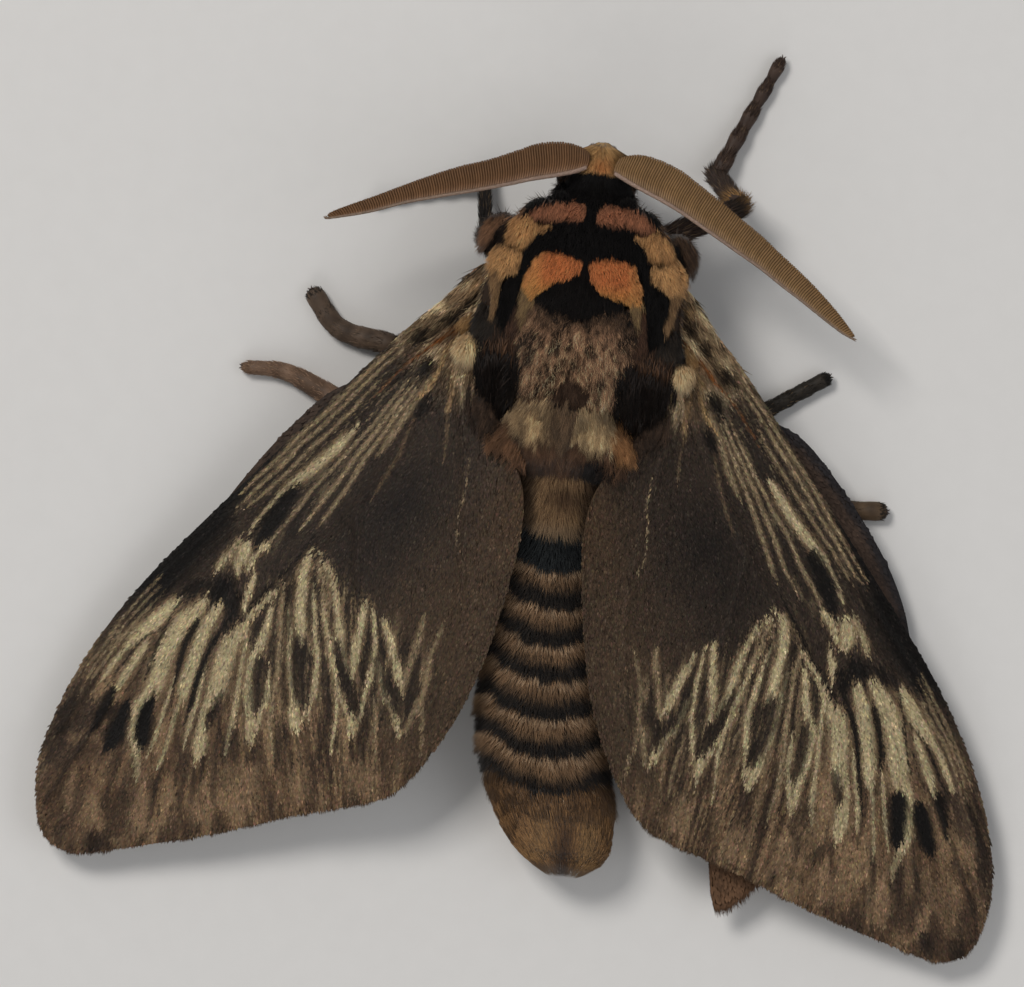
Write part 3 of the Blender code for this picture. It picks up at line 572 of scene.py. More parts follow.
CREAM = tone(190, 174, 136)
PALE = tone(158, 139, 108)
DUSK = tone(122, 101, 77)
SOOT = tone(15, 12, 10)
RUST = tone(140, 84, 42)
DAWN = tone(150, 122, 94)

# Each line of pale scales: half width, strength, tone, and the points that it passes.
PALE_LINES = [
    (0.09, 0.75, PALE, [(2.6, -1.35), (6, -1.9), (8, -2.15), (10, -2.38), (12, -2.58), (14.8, -2.85)]),
    (0.08, 0.7, PALE, [(4.2, -1.3), (6.5, -1.65), (8.5, -1.9), (10.5, -2.07), (13, -2.35), (15.2, -2.55)]),
    (0.08, 0.65, PALE, [(6.5, -1.3), (9, -1.48), (11, -1.68), (13, -1.96), (15, -2.18)]),
    (0.22, 0.95, CREAM, [(8.8, -0.74), (10.4, -0.86), (11.5, -1.02), (12.6, -1.3), (13.6, -1.5)]),
    (0.07, 0.7, CREAM, [(13.0, -1.4), (14.4, -1.5), (15.8, -1.42)]),
    (0.08, 0.7, PALE, [(5.6, -0.3), (8, -0.24), (10, -0.28), (12, -0.4), (15.8, -0.5)]),
    (0.09, 0.75, PALE, [(5.4, -0.06), (7.5, 0.02), (9, 0.08), (10.7, 0.18), (12.7, 0.3), (14.2, 0.3)]),
    (0.1, 0.7, PALE, [(5.6, 0.15), (7.2, 0.28), (8.4, 0.4), (9.8, 0.52), (11.4, 0.74), (13.4, 0.9)]),
    (0.14, 0.55, PALE, [(4.8, 0.4), (6.2, 0.5), (7.6, 0.68), (9.0, 0.85)]),
    (0.07, 0.4, DUSK, [(6.8, 1.0), (8.6, 1.5), (10.5, 1.82)]),
    (0.06, 0.4, DUSK, [(5.2, 1.6), (6.2, 2.4), (7.2, 3.1)]),
    (0.36, 0.9, CREAM, [(16.15, -1.25), (16.8, -1.0), (17.4, -0.7)]),
    (0.18, 0.85, CREAM, [(15.4, -0.42), (16.2, -0.52), (17.0, -0.5)]),
    (0.16, 0.65, CREAM, [(16.1, -1.55), (17.3, -1.58), (18.2, -1.45)]),
    (0.15, 1.0, CREAM, [(16.9, -0.1), (17.6, 0.12), (18.15, 0.36), (18.6, 0.58)]),
    (0.32, 1.0, CREAM, [(20.05, -1.98), (21.1, -2.12), (22.1, -2.2), (23.3, -2.3)]),
    (0.14, 0.9, CREAM, [(22.4, -2.3), (24.0, -2.36), (25.4, -2.28)]),
    (0.08, 0.6, PALE, [(20.4, -2.68), (22, -2.74), (24, -2.74), (25.8, -2.58)]),
    (0.07, 0.55, PALE, [(20.2, -2.96), (22, -3.02), (24.5, -2.98), (26.5, -2.62)]),
    (0.07, 0.5, PALE, [(19.9, -3.24), (22.5, -3.3), (25.5, -3.1)]),
    (0.18, 0.95, CREAM, [(22.4, -1.74), (23.6, -1.62), (25.2, -1.5)]),
    (0.44, 1.0, CREAM, [(19.3, -1.0), (20.6, -1.12), (21.8, -0.98), (23.0, -0.58), (24.0, -0.28),
     (24.9, 0.0)]),
    (0.3, 1.0, CREAM, [(23.8, -0.5), (25.1, -0.12), (26.2, 0.5), (27.3, 1.3)]),
    (0.16, 0.6, CREAM, [(26.6, 0.9), (27.2, 1.45), (27.7, 1.9)]),
    (0.32, 1.0, CREAM, [(19.0, -0.34), (20.2, -0.22), (21.2, 0.18), (22.3, 0.62), (23.6, 1.08)]),
    (0.08, 0.75, CREAM, [(23.1, 0.28), (24.3, 0.7), (25.4, 1.15), (26.8, 1.62)]),
    (0.1, 0.6, CREAM, [(23.4, 0.95), (24.4, 1.3), (25.4, 1.75), (26.6, 2.3)]),
    (0.4, 1.0, CREAM, [(19.1, 1.15), (20.2, 1.15), (21.2, 1.55), (21.9, 1.9), (22.9, 2.25)]),
    (0.15, 0.85, CREAM, [(22.3, 1.85), (23.2, 2.12), (24.1, 2.55)]),
    (0.3, 0.95, CREAM, [(23.7, 2.5), (24.4, 2.9), (25.2, 3.4)]),
    (0.12, 0.8, CREAM, [(21.6, 1.0), (22.8, 1.5), (24.0, 1.95), (25.2, 2.5)]),
    (0.12, 0.8, CREAM, [(19.3, 1.4), (20.5, 2.15), (21.5, 2.75), (22.8, 3.55), (24.2, 4.25)]),
    (0.13, 0.9, CREAM, [(16.7, 1.32), (17.5, 1.15), (18.6, 1.08), (19.4, 1.15)]),
    (0.2, 1.0, CREAM, [(17.4, 1.5), (18.8, 2.05), (20.2, 2.4), (21.1, 3.0), (21.8, 3.65), (22.5, 4.35),
     (23.2, 4.95)]),
    (0.24, 0.9, CREAM, [(21.9, 3.9), (22.6, 4.4), (23.1, 4.8)]),
    (0.13, 0.8, CREAM, [(19.9, 3.3), (20.9, 3.95), (21.8, 4.3), (22.7, 4.65), (23.2, 4.95)]),
    (0.1, 0.75, PALE, [(16.5, 1.35), (17.4, 2.0), (18.3, 2.6), (19.5, 3.45), (20.6, 4.1), (21.7, 4.75),
     (23.0, 6.1)]),
    (0.12, 0.85, CREAM, [(17.0, 2.1), (18.0, 2.9), (19.0, 3.7), (19.9, 4.5), (20.5, 5.2), (21.0, 5.85)]),
    (0.24, 0.95, CREAM, [(20.2, 4.95), (20.7, 5.4), (21.2, 6.05)]),
    (0.13, 0.85, CREAM, [(15.6, 2.3), (16.8, 3.4), (18.1, 4.6), (19.2, 5.3), (20.2, 5.8), (21.3, 6.2)]),
    (0.26, 1.0, CREAM, [(14.7, 1.32), (15.5, 1.62), (16.3, 2.15), (17.0, 2.7), (17.6, 3.2), (18.0, 3.6)]),
    (0.12, 0.7, PALE, [(14.7, 1.9), (15.5, 2.8), (16.5, 3.9), (17.7, 4.85)]),
    (0.15, 0.85, CREAM, [(14.4, 1.5), (14.65, 2.3), (15.0, 2.95), (15.5, 3.7), (16.1, 4.3), (16.8, 4.9),
     (17.25, 5.6), (17.6, 6.4)]),
    (0.2, 0.85, CREAM, [(15.9, 4.15), (16.5, 4.65), (17.0, 5.2)]),
    (0.19, 0.95, CREAM, [(14.55, 4.65), (15.2, 5.0), (16.1, 5.5), (16.9, 5.95), (17.55, 6.4)]),
    (0.11, 0.85, CREAM, [(14.4, 4.9), (15.0, 5.5), (15.8, 6.25), (17.0, 7.0), (18.0, 7.42), (19.0, 7.85),
     (19.9, 8.15)]),
    (0.13, 0.85, CREAM, [(16.2, 3.4), (17.1, 4.6), (18.0, 5.5), (18.6, 6.4), (19.1, 7.2), (19.5, 7.75),
     (19.95, 8.2)]),
    (0.22, 0.95, CREAM, [(18.9, 7.35), (19.4, 7.75), (19.8, 8.1)]),
    (0.19, 0.9, CREAM, [(14.6, 5.7), (15.1, 6.55), (15.7, 7.25), (16.2, 7.9), (16.65, 8.55)]),
    (0.15, 0.55, PALE, [(13.3, 7.0), (14.3, 7.55), (15.3, 7.95), (16.1, 8.3), (16.65, 8.6)]),
    (0.1, 0.45, PALE, [(13.1, 8.1), (14.5, 8.45), (15.5, 9.0), (16.6, 9.6), (17.3, 10.2), (18.2, 11.1)]),
    (0.12, 0.75, CREAM, [(16.2, 6.7), (16.9, 7.45), (17.4, 8.2), (17.8, 9.0), (18.2, 9.75)]),
    (0.17, 0.8, CREAM, [(17.75, 8.9), (18.05, 9.35), (18.25, 9.8)]),
    (0.12, 0.5, PALE, [(16.1, 9.3), (17.2, 9.62), (18.2, 9.9)]),
    (0.09, 0.8, CREAM, [(17.2, 4.9), (18.4, 6.0), (19.2, 6.7), (20.0, 7.2), (21.0, 7.85)]),
    (0.07, 0.5, PALE, [(17.6, 7.6), (18.4, 8.3), (19.2, 9.1), (20.0, 9.7)]),
    (0.03, 0.7, PALE, [(6.6, 4.1), (7.5, 4.7), (8.8, 5.3), (9.8, 5.95), (10.25, 6.75)]),
    (0.36, 0.55, DAWN, [(27.7, 2.3), (28.7, 2.9), (29.6, 3.5)]),
    (0.34, 0.55, DAWN, [(25.9, 4.35), (26.7, 4.85), (27.4, 5.3)]),
    (0.36, 0.6, DAWN, [(23.8, 5.5), (24.7, 6.0), (25.4, 6.5)]),
    (0.34, 0.55, DAWN, [(22.6, 7.2), (23.2, 7.75), (23.7, 8.3)]),
    (0.28, 0.5, DAWN, [(29.7, 1.0), (30.3, 1.6), (30.8, 2.2)]),
    (0.2, 0.4, DAWN, [(29.2, -0.5), (30.0, -0.2), (30.8, 0.3)]),
    (0.34, 0.45, DAWN, [(20.6, 9.0), (21.2, 9.7), (21.6, 10.2)]),
    (0.09, 0.95, RUST, [(0.9, 0.19), (2.4, -0.1), (3.6, -0.42), (4.5, -0.67)]),
    (0.05, 0.35, RUST, [(4.3, -0.62), (5.8, -0.88), (7.4, -1.0)]),
    (0.26, 0.95, tone(184, 150, 108), [(0.2, -0.74), (0.6, -0.8)]),
    (0.3, 0.95, tone(176, 150, 116), [(1.45, -0.95), (2.05, -1.12)]),
    (0.22, 0.9, tone(168, 146, 112), [(2.75, -1.0), (3.15, -1.12)]),
    (0.24, 1.0, tone(222, 190, 142), [(1.9, 0.1), (2.2, 0.18)]),
    (0.1, 0.85, tone(182, 150, 106), [(2.3, 0.3), (3.64, 0.09), (4.17, 0.5), (5.2, 0.62), (6.1, 0.44)]),
    (0.1, 0.75, tone(164, 134, 98), [(3.8, 0.75), (4.2, 1.05), (4.9, 1.62), (5.6, 1.9)]),
    (0.1, 0.6, tone(150, 122, 92), [(3.0, 1.8), (4.0, 2.6), (5.2, 3.2)]),
    (0.07, 0.7, PALE, [(3.0, -1.75), (4.0, -1.85), (6.0, -2.3)]),
    (0.06, 0.7, PALE, [(3.6, -1.5), (5.0, -1.7), (7.0, -2.0)]),
]

# Each dark mark: half width, strength, and the points that it passes.
DARK_LINES = [
    (0.36, 0.95, [(12.7, -1.12), (14.2, -1.0), (15.7, -0.9)]),
    (0.5, 0.95, [(18.1, -0.72), (18.9, -0.85)]),
    (0.3, 0.8, [(18.9, -1.5), (19.6, -1.9)]),
    (0.3, 0.85, [(18.2, 0.1), (18.75, -0.1), (19.0, 0.4)]),
    (0.55, 0.65, [(15.6, -2.55), (17.5, -2.6), (19.6, -2.65)]),
    (0.2, 0.7, [(20.0, -2.75), (21.0, -2.62)]),
    (0.06, 0.85, [(13.8, 1.02), (16.0, 0.98), (18.8, 0.82), (19.6, 0.6), (20.6, 0.5), (21.6, 0.85),
     (23.2, 1.35), (24.6, 1.95)]),
    (0.06, 0.85, [(19.9, -1.92), (21.3, -1.66), (22.5, -1.28), (23.2, -0.95), (23.9, -0.86)]),
    (0.05, 0.8, [(21.8, -1.82), (22.7, -1.98), (24.0, -1.98), (25.4, -1.95)]),
    (0.04, 0.7, [(22.8, -1.3), (24.0, -1.2), (25.0, -1.12)]),
    (0.15, 0.95, [(20.2, -0.68), (21.2, -0.5), (22.0, -0.15), (22.9, 0.3)]),
    (0.06, 0.7, [(22.6, 0.12), (23.3, 0.5), (24.2, 1.0)]),
    (0.36, 1.0, [(24.5, -0.02), (25.3, 0.4), (26.5, 1.05)]),
    (0.42, 1.0, [(25.3, -0.62), (26.3, -0.42), (27.5, -0.05)]),
    (0.28, 0.95, [(25.2, -1.65), (26.2, -1.4), (27.1, -1.15)]),
    (0.13, 0.9, [(19.1, 0.36), (20.3, 0.42), (21.4, 0.74), (22.6, 1.22), (23.8, 1.7)]),
    (0.2, 0.95, [(22.2, 2.25), (23.0, 2.5), (23.7, 2.8)]),
    (0.5, 0.5, [(23.0, 3.9), (24.3, 4.6), (25.3, 5.0)]),
    (0.5, 0.4, [(21.4, 5.6), (22.4, 6.4), (23.0, 7.0)]),
    (0.35, 0.5, [(27.2, 1.2), (28.0, 1.8), (28.6, 2.2)]),
    (0.34, 0.95, [(19.8, 2.6), (20.8, 3.25), (21.8, 4.0)]),
    (0.12, 0.8, [(17.7, 1.4), (18.8, 1.6), (19.8, 2.1)]),
    (0.36, 0.95, [(17.9, 3.3), (19.1, 4.2), (20.2, 5.4)]),
    (0.14, 0.85, [(16.2, 1.55), (17.2, 2.3), (18.2, 2.95)]),
    (0.12, 0.7, [(15.6, 2.3), (16.4, 2.8), (17.4, 3.7)]),
    (0.3, 0.95, [(17.0, 4.9), (17.8, 6.0), (18.3, 6.8), (18.9, 7.5)]),
    (0.16, 0.8, [(15.6, 5.8), (16.6, 6.4), (17.5, 6.9)]),
    (0.28, 0.9, [(16.3, 6.7), (16.9, 7.8), (17.4, 8.7), (17.7, 9.4)]),
    (0.14, 0.7, [(15.3, 6.2), (16.0, 6.9)]),
    (0.12, 0.6, [(15.2, 8.2), (16.3, 8.85), (17.2, 9.35)]),
    (0.16, 0.6, [(18.4, 8.1), (19.2, 8.6), (20.0, 9.2)]),
    (0.14, 0.6, [(19.9, 7.4), (20.7, 7.9)]),
    (0.4, 0.75, [(31.0, 1.7), (31.5, 2.5)]),
    (0.3, 0.65, [(31.6, 0.4), (32.3, 1.0)]),
    (0.3, 0.5, [(25.6, -2.75), (27.5, -2.6), (29.6, -1.75)]),
    (0.3, 0.5, [(4.4, 0.15), (5.2, 0.05)]),
    (0.3, 0.85, [(0.9, -0.4), (1.3, -0.4)]),
    (0.32, 0.85, [(2.1, -0.62), (2.6, -0.75)]),
    (0.34, 0.85, [(3.5, -1.1), (4.2, -1.2)]),
    (0.35, 0.9, [(1.2, 0.75), (1.9, 0.85)]),
    (0.28, 0.9, [(4.3, -0.05), (5.1, -0.05)]),
    (0.3, 0.8, [(5.7, 0.85), (6.6, 1.0)]),
    (0.1, 0.85, [(0.0, -1.2), (1.6, -1.62), (3.2, -1.9)]),
    (0.09, 0.7, [(0.1, -0.42), (2.2, -0.5), (4.0, -0.85)]),
    (0.07, 0.8, [(1.6, 0.42), (2.7, 0.55), (3.6, 0.5)]),
]


def near_mark(places, fine, line, half, reach, ends, slimming):
    """The places near a mark's line, their distance from it in half widths, and a little noise.

    ends says how quickly the mark slims towards its ends, and slimming by how much.
    """
    close = ((places > np.min(line, axis=0) - reach) & (places < np.max(line, axis=0) + reach)).all(1)
    gap, along = to_line(places[close], line)
    taper = np.sqrt(np.clip(ends * along, 0, 1) * np.clip(ends * (1 - along), 0, 1))
    return close, gap / (half * (taper * slimming + 1 - slimming)) + 0.3 * fine[close]


def paint_marks(tones, places, fine):
    """Lays the pale lines and then the dark ones over the forewing's ground."""
    for half, strength, colour, line in PALE_LINES:
        close, gap = near_mark(places, fine, line, 0.98 * half, 3 * half + 0.3, 4, 0.7)
        glow = strength * min(1.0, half / 0.13) * ease(2.1, 1.0, gap)
        own = blend(tones[close], blend(tones[close], DUSK, 0.8), glow)
        core = colour * (0.92 + 0.16 * fine[close])[:, None]
        tones[close] = blend(own, core, strength * ease(1.3, 0.45, gap))
    for half, strength, line in DARK_LINES:
        among_streaks = line[0][0] > 14.5 and line[0][1] > 0.6
        core, strength = (tone(36, 29, 24), 0.8 * strength) if among_streaks else (SOOT, strength)
        close, gap = near_mark(places, fine, line, half, 2 * half + 0.2, 5, 0.5)
        tones[close] = blend(tones[close], core, strength * ease(1.6, 0.5, gap))


def forewing_tones(plan, shake, seed):
    """Colour of the forewing's upper side. shake is how far each place is moved along the lie."""
    local = to_local(plan)
    lane = sample_grid(LANES, plan)
    flow = unit(sample_grid(FLOW_FIELD, plan))
    flow = columns(flow @ ALONG, flow @ ACROSS)

    def streaks(along, stretch, size, number):
        return cloud(columns(along / stretch, lane), size, seed + number)

    comb = 0.24 * streaks(local[:, 0], 9, 0.085, 0) + 0.14 * streaks(local[:, 0], 5, 0.19, 1)
    places = local + flow * (comb + shake)[:, None]
    places = places + 0.07 * columns(cloud(places, 1.3, seed), cloud(places, 1.3, seed + 1))
    a, c = places.T
    cells = cloud(places * (0.35, 1.0), 0.9, seed + 2)
    fine = 0.75 * streaks(a, 7, 0.15, 5) + 0.45 * streaks(a, 7, 0.07, 7)
    broad = streaks(a, 6, 0.42, 6)
    band = broad + 0.5 * cloud(columns(a / 2.6, lane * 1.6), 0.6, seed + 8)
    tones = np.broadcast_to(tone(56, 46, 38), (len(a), 3)).copy()

    def paint(red, green, blue, share):
        tones[:] = blend(tones, tone(red, green, blue), share)

    # Ground: near black in the middle, brown towards the inner margin and the outer border.
    paint(74, 59, 45, 0.9 * ease(3.5, 8.5, c + 0.8 * cells))
    paint(92, 68, 46, 0.5 * ease(5.0, 8.0, c) * ease(11, 5, a))
    paint(64, 53, 41, 0.9 * ease(14.2, 15.6, a + 0.25 * fine) * ease(0.6, 1.4, c) * ease(11.5, 8.0, c))
    margin = ease(19.5, 24.0, a + 0.32 * (c - 2.5) + 0.9 * cells)
    paint(102, 80, 59, 0.9 * margin)
    paint(86, 66, 49, 0.75 * margin * ease(26.5, 31, a + 0.5 * cells))
    paint(70, 58, 47, 0.75 * ease(19.5, 22, a) * ease(-0.8, -1.9, c + 0.3 * broad))
    # A near-black strip along the front edge: painted shade of the edge, which rolls under.
    from_front = -c - 0.014 * (a - 14) ** 2 * (a < 16)
    paint(13, 11, 10, 0.95 * ease(2.25, 2.85, from_front) * ease(25, 20, a))
    paint(40, 33, 28, 0.85 * bump_at(a, 11.5, 4.0) * bump_at(c, 2.9, 2.4))
    paint(27, 23, 21, 0.6 * bump_at(a, 10.2, 1.6) * bump_at(c, 3.1, 0.9))
    # Mottled tufts of scales round the wing's root, and the lines of the front edge.
    base = ease(5.8, 2.0, a) * ease(2.9, 1.5, np.abs(c))
    spots = cloud(places, 0.55, seed + 3)
    paint(186, 154, 118, 0.9 * base)
    paint(252, 226, 182, 0.85 * base * ease(0.0, 0.35, spots))
    paint(26, 25, 26, base * ease(0.15, 0.5, -spots) * 0.75)
    front = ease(4.0, 6.5, a) * ease(16.5, 14.0, a) * ease(0.6, 0.0, c) * ease(-3.0, -2.5, c)
    paint(46, 38, 31, 0.7 * front)
    paint(126, 110, 86, 0.45 * front * ease(0.15, 0.6, fine))
    paint(24, 20, 17, 0.5 * front * ease(0.1, 0.6, -fine))
    # Fine streaks of the outer half, and pale rays that run out between the veins of the border.
    outer = ease(14.0, 15.2, a) * ease(0.3, 1.2, c) * ease(27.5, 23.5, a + 0.35 * c) * ease(10.5, 8.5, c)
    paint(142, 121, 93, 0.62 * outer * ease(0.08, 0.55, fine))
    paint(38, 31, 26, 0.75 * outer * ease(0.05, 0.45, -fine))
    paint(150, 124, 94, 0.6 * margin * ease(0.1, 0.55, band) * ease(33, 28, a))
    paint(60, 47, 37, 0.65 * margin * ease(0.15, 0.6, -band))
    paint(132, 108, 82, 0.4 * margin * ease(0.1, 0.5, fine))
    paint(54, 42, 33, 0.65 * margin * ease(0.05, 0.45, -fine))
    gap = np.full(len(a), 9.0)
    border = margin > 0.02
    gap[border] = np.min([to_line(plan[border], line)[0] for line in VEIN_LINES], axis=0)
    paint(46, 36, 29, 0.6 * margin * border * ease(0.17, 0.05, gap + 0.05 * fine))
    paint_marks(tones, places, fine)
    return tones


def hindwing_tones(plan):
    tones = blend(tone(72, 57, 47), tone(54, 43, 37), 0.5 + 0.5 * cloud(plan, 1.4, 9))
    gap = to_line(plan, np.array(HINDWING_OUTLINE[7:14]))[0]
    # A dark bluish strip along the front edge: painted shadow, for the shadow that the wing casts on the
    # floor beside it.
    tones = blend(tones, tone(32, 34, 39), 0.8 * ease(0.6, 0.15, gap))
    # Lighter towards the rear, where the hindwing shows beyond the forewing: partly a paler hind edge,
    # partly painted light.
    return blend(tones, tone(112, 82, 58), 0.7 * ease(17, 22, plan[:, 1]))


def uneven(tones, draw, amount, low=0.5, high=1.6):
    """The same tones, each a little lighter or darker."""
    return tones * (1 + amount * draw.normal(0, 1, len(tones))).clip(low, high)[:, None]


# Wings


def plan_triangles(outline, step):
    """Points and triangles that fill an outline evenly."""
    low, high = outline.min(axis=0), outline.max(axis=0)
    grid = np.array([
        (x, y) for row, y in enumerate(np.arange(low[1], high[1], step * 0.87))
        for x in np.arange(low[0] + (row % 2) * step / 2, high[0], step)
    ])
    grid = grid[inside(outline, *grid.T)]
    grid = grid[to_line(grid, closed_loop(outline))[0] > 0.55 * step]
    points = [(float(x), float(y)) for x, y in np.vstack([outline, grid])]
    edges = [(k, (k + 1) % len(outline)) for k in range(len(outline))]
    found = delaunay_2d_cdt(points, edges, [], 1, 1e-6)
    return np.array([tuple(p) for p in found[0]]), np.array(found[2], int)


def membrane(name, sign, outline, height, lines, thickness, tone_of, spread_of, replaced, step, ridge):
    """The wing's thin skin: upper and lower face, with a rounded edge."""
    plan, faces = plan_triangles(outline, step)
    from_edge = to_line(plan, closed_loop(outline))[0]
    middle = height(*plan.T) + vein_relief(plan, lines, ridge, 0.22) - 0.5 * thickness
    half = 0.5 * thickness * (0.35 + 0.65 * ease(0, 0.35, from_edge))
    count = len(plan)
    edges = [(a, b) for face in faces.tolist() for a, b in zip(face, face[1:] + face[:1])]
    known = set(edges)
    first, second = np.array([(a, b) for a, b in edges if (b, a) not in known]).T
    walls = [columns(second, first, first + count), columns(second, first + count, second + count)]
    solid = np.vstack([faces, faces[:, ::-1] + count, *walls])[:, ::sign]
    tones = np.vstack([tone_of(plan), tone_of(plan) * 0.9 + 0.012])
    spread = np.vstack([spread_of(plan), spread_of(plan) + (0, 0.5)])
    points = np.vstack([columns(plan * (sign, 1), middle + half), columns(plan * (sign, 1), middle - half)])
    obj = make_mesh(name, points, solid, "wing_skin", tones, spread, True, "wing_scales")
    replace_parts(obj, replaced)


def wing_spread(plan):
    return (to_local(plan) + (3, 5)) / 38.0


def surface_normals(height, out, back, sign, step=0.05, steepest=99.0):
    rise_x = (height(out + step, back) - height(out - step, back)) / (2 * step)
    rise_y = (height(out, back + step) - height(out, back - step)) / (2 * step)
    rise_x, rise_y = rise_x.clip(-steepest, steepest), rise_y.clip(-steepest, steepest)
    return unit(columns(-rise_x * sign, -rise_y, np.ones(len(out))))


def scatter(outline, count, draw):
    """Random plan points, evenly spread over an outline by jittered rows."""
    low, high = outline.min(axis=0), outline.max(axis=0)
    (x, y), (next_x, next_y) = outline.T, np.roll(outline, -1, axis=0).T
    step = math.sqrt(0.5 * abs(np.sum(x * next_y - next_x * y)) / count)
    xs, ys = np.meshgrid(np.arange(low[0], high[0], step), np.arange(low[1], high[1], step))
    points = columns(xs.ravel(), ys.ravel())
    points += draw.uniform(-0.5, 0.5, points.shape) * step
    return points[inside(outline, *points.T)]


def shingles(plan, way, length, height, sign):
    """Where scales start on a wing, which way they lie, and where they end as seen from above."""
    reach = plan + way * length[:, None]
    start = columns(plan, height(*plan.T)) * (sign, 1, 1)
    end = columns(reach, height(*reach.T)) * (sign, 1, 1)
    return start, unit(end - start), reach


def build_forewing(side):
    seed = 3 + SIDES[side]
    membrane(
        f"forewing_{side}_skin", SIDES[side], FOREWING_EDGE, wing_height, VEIN_LINES, 0.2,
        lambda plan: forewing_tones(plan, 0.0, seed), wing_spread, f"forewing_{side}", 0.17, 0.1,
    )
    build_forewing_scales(side, seed)
    build_forewing_hair(side, seed)


def build_forewing_scales(side, seed):
    """Scales over the whole upper side, laid along the veins like shingles."""
    sign = SIDES[side]
    draw = np.random.default_rng(21 + sign)
    plan = scatter(FOREWING_EDGE, 47500, draw)
    count = len(plan)
    way = unit(sample_grid(FLOW_FIELD, plan))
    way = around(way, way[:, ::-1] * (-1, 1), draw.normal(0, 0.12, count))
    tones = forewing_tones(plan, draw.normal(0.0, 0.1, count), seed)
    tones = uneven(tones, draw, 0.22, 0.45, 1.7) * (1 + 0.06 * draw.normal(0, 1, (count, 3)))
    # A few scales are lightened as painted glints, and a few others are darker at random.
    glint_and_dark_pick = draw.random(count)
    tones[glint_and_dark_pick < 0.05] = tones[glint_and_dark_pick < 0.05] * 1.5 + tone(24, 20, 18)
    tones[glint_and_dark_pick > 0.93] = tones[glint_and_dark_pick > 0.93] * 0.55
    outward = surface_normals(forewing_surface, *plan.T, sign)
    length = draw.uniform(0.19, 0.31, count)
    start, along, reach = shingles(plan, way, length, forewing_surface, sign)
    s = inside(FOREWING_EDGE, *reach.T) | (to_line(reach, closed_loop(FOREWING_EDGE))[0] < 0.12)
    scale_piece(
        f"forewing_{side}_scales", start[s], along[s], outward[s], length[s],
        draw.uniform(0.065, 0.1, s.sum()), draw.uniform(0.012, 0.045, s.sum()), tones[s],
        wing_spread(plan[s]), "wing", "wing_scales",
    )


def build_forewing_hair(side, seed):
    """Fringe round the margin, hair along the inner edge, and the shaggy tufts of the wing's root."""
    sign = SIDES[side]
    draw = np.random.default_rng(40 + sign)
    edge = smooth_curve(FOREWING_OUTLINE, 2600, closed=True)
    outward = unit(np.roll(edge, -1, axis=0) - np.roll(edge, 1, axis=0))[:, ::-1] * (1, -1)
    if inside(FOREWING_EDGE, *(edge + outward * 0.2).T).mean() > 0.5:
        outward = -outward
    a, c = to_local(edge).T
    inner = (c > 5) | (a > 31)
    margin, push = edge[inner], outward[inner]
    rear = ease(19, 16, a[inner])
    lean = (0.5 - 0.4 * rear)[:, None] * push + (0.5 + 0.4 * rear)[:, None] * wing_flow(margin)
    jag = 0.88 + 0.25 * cloud(margin, 0.4, 60 + seed) + 0.14 * cloud(margin, 0.12, 61 + seed)
    # Each group of hairs has roots and ways in plan, lengths and widths.
    groups = []
    for _ in range(3):
        groups.append((
            margin - push * draw.uniform(0.15, 0.3, len(margin))[:, None],
            unit(lean + draw.normal(0, 0.07, margin.shape)),
            (0.36 + 0.14 * rear) * jag.clip(0.5, 1.4) * draw.uniform(0.85, 1.1, len(margin)),
            draw.uniform(0.06, 0.09, len(margin)),
        ))
    front = (c < 0) & (a > 1) & (a < 31)
    groups.append((
        edge[front] - outward[front] * 0.1, unit(wing_flow(edge[front]) + 0.03 * outward[front]),
        draw.uniform(0.25, 0.4, front.sum()), np.full(front.sum(), 0.06),
    ))
    # Tufts of the root, and loose hair that thins out along the inner third of the wing.
    shaggy = scatter(FOREWING_EDGE, 26000, draw)
    a, c = to_local(shaggy).T
    chance = ease(6.8, 2.5, a) + 0.16 * ease(3, 8, c) * ease(15, 5, a)
    chosen = draw.random(len(shaggy)) < chance
    shaggy, a = shaggy[chosen], a[chosen]
    groups.append((
        shaggy, unit(wing_flow(shaggy) + draw.normal(0, 0.16, shaggy.shape)),
        draw.uniform(0.5, 0.95, len(shaggy)) * (0.6 + 0.5 * ease(6, 1, a)),
        draw.uniform(0.045, 0.075, len(shaggy)),
    ))
    roots, ways, lengths, widths = (np.concatenate(parts) for parts in zip(*groups))
    shag = np.arange(len(roots)) >= len(roots) - len(shaggy)
    tips = roots + ways * lengths[:, None]
    clear = tips[:, 0] > 1.0
    roots, tips, lengths, widths, shag = (v[clear] for v in (roots, tips, lengths, widths, shag))
    a = to_local(roots)[:, 0]
    tones = forewing_tones(roots, 0.35 * lengths, seed)
    tones = blend(tones, tone(120, 96, 74), np.where(shag, 0, 0.6 * ease(15, 20, a)))
    tones = uneven(tones, draw, 0.2)
    lift = np.where(shag, 0.1 + 0.2 * ease(6, 1, a), 0.0) * draw.uniform(0.6, 1.3, len(roots))
    low = forewing_surface(*roots.T) - np.where(shag, 0.03, 0.07)
    high = forewing_surface(*tips.T) + lift - np.where(shag, 0.0, 0.1)
    hair_piece(
        f"forewing_{side}_fringe", columns(roots * (sign, 1), low), None, columns(tips * (sign, 1), high),
        surface_normals(wing_height, *roots.T, sign), widths * 1.2, tones, wing_spread(roots), "wing",
        "wing_scales", 0.5, (0.8, 1, 1.1),
    )


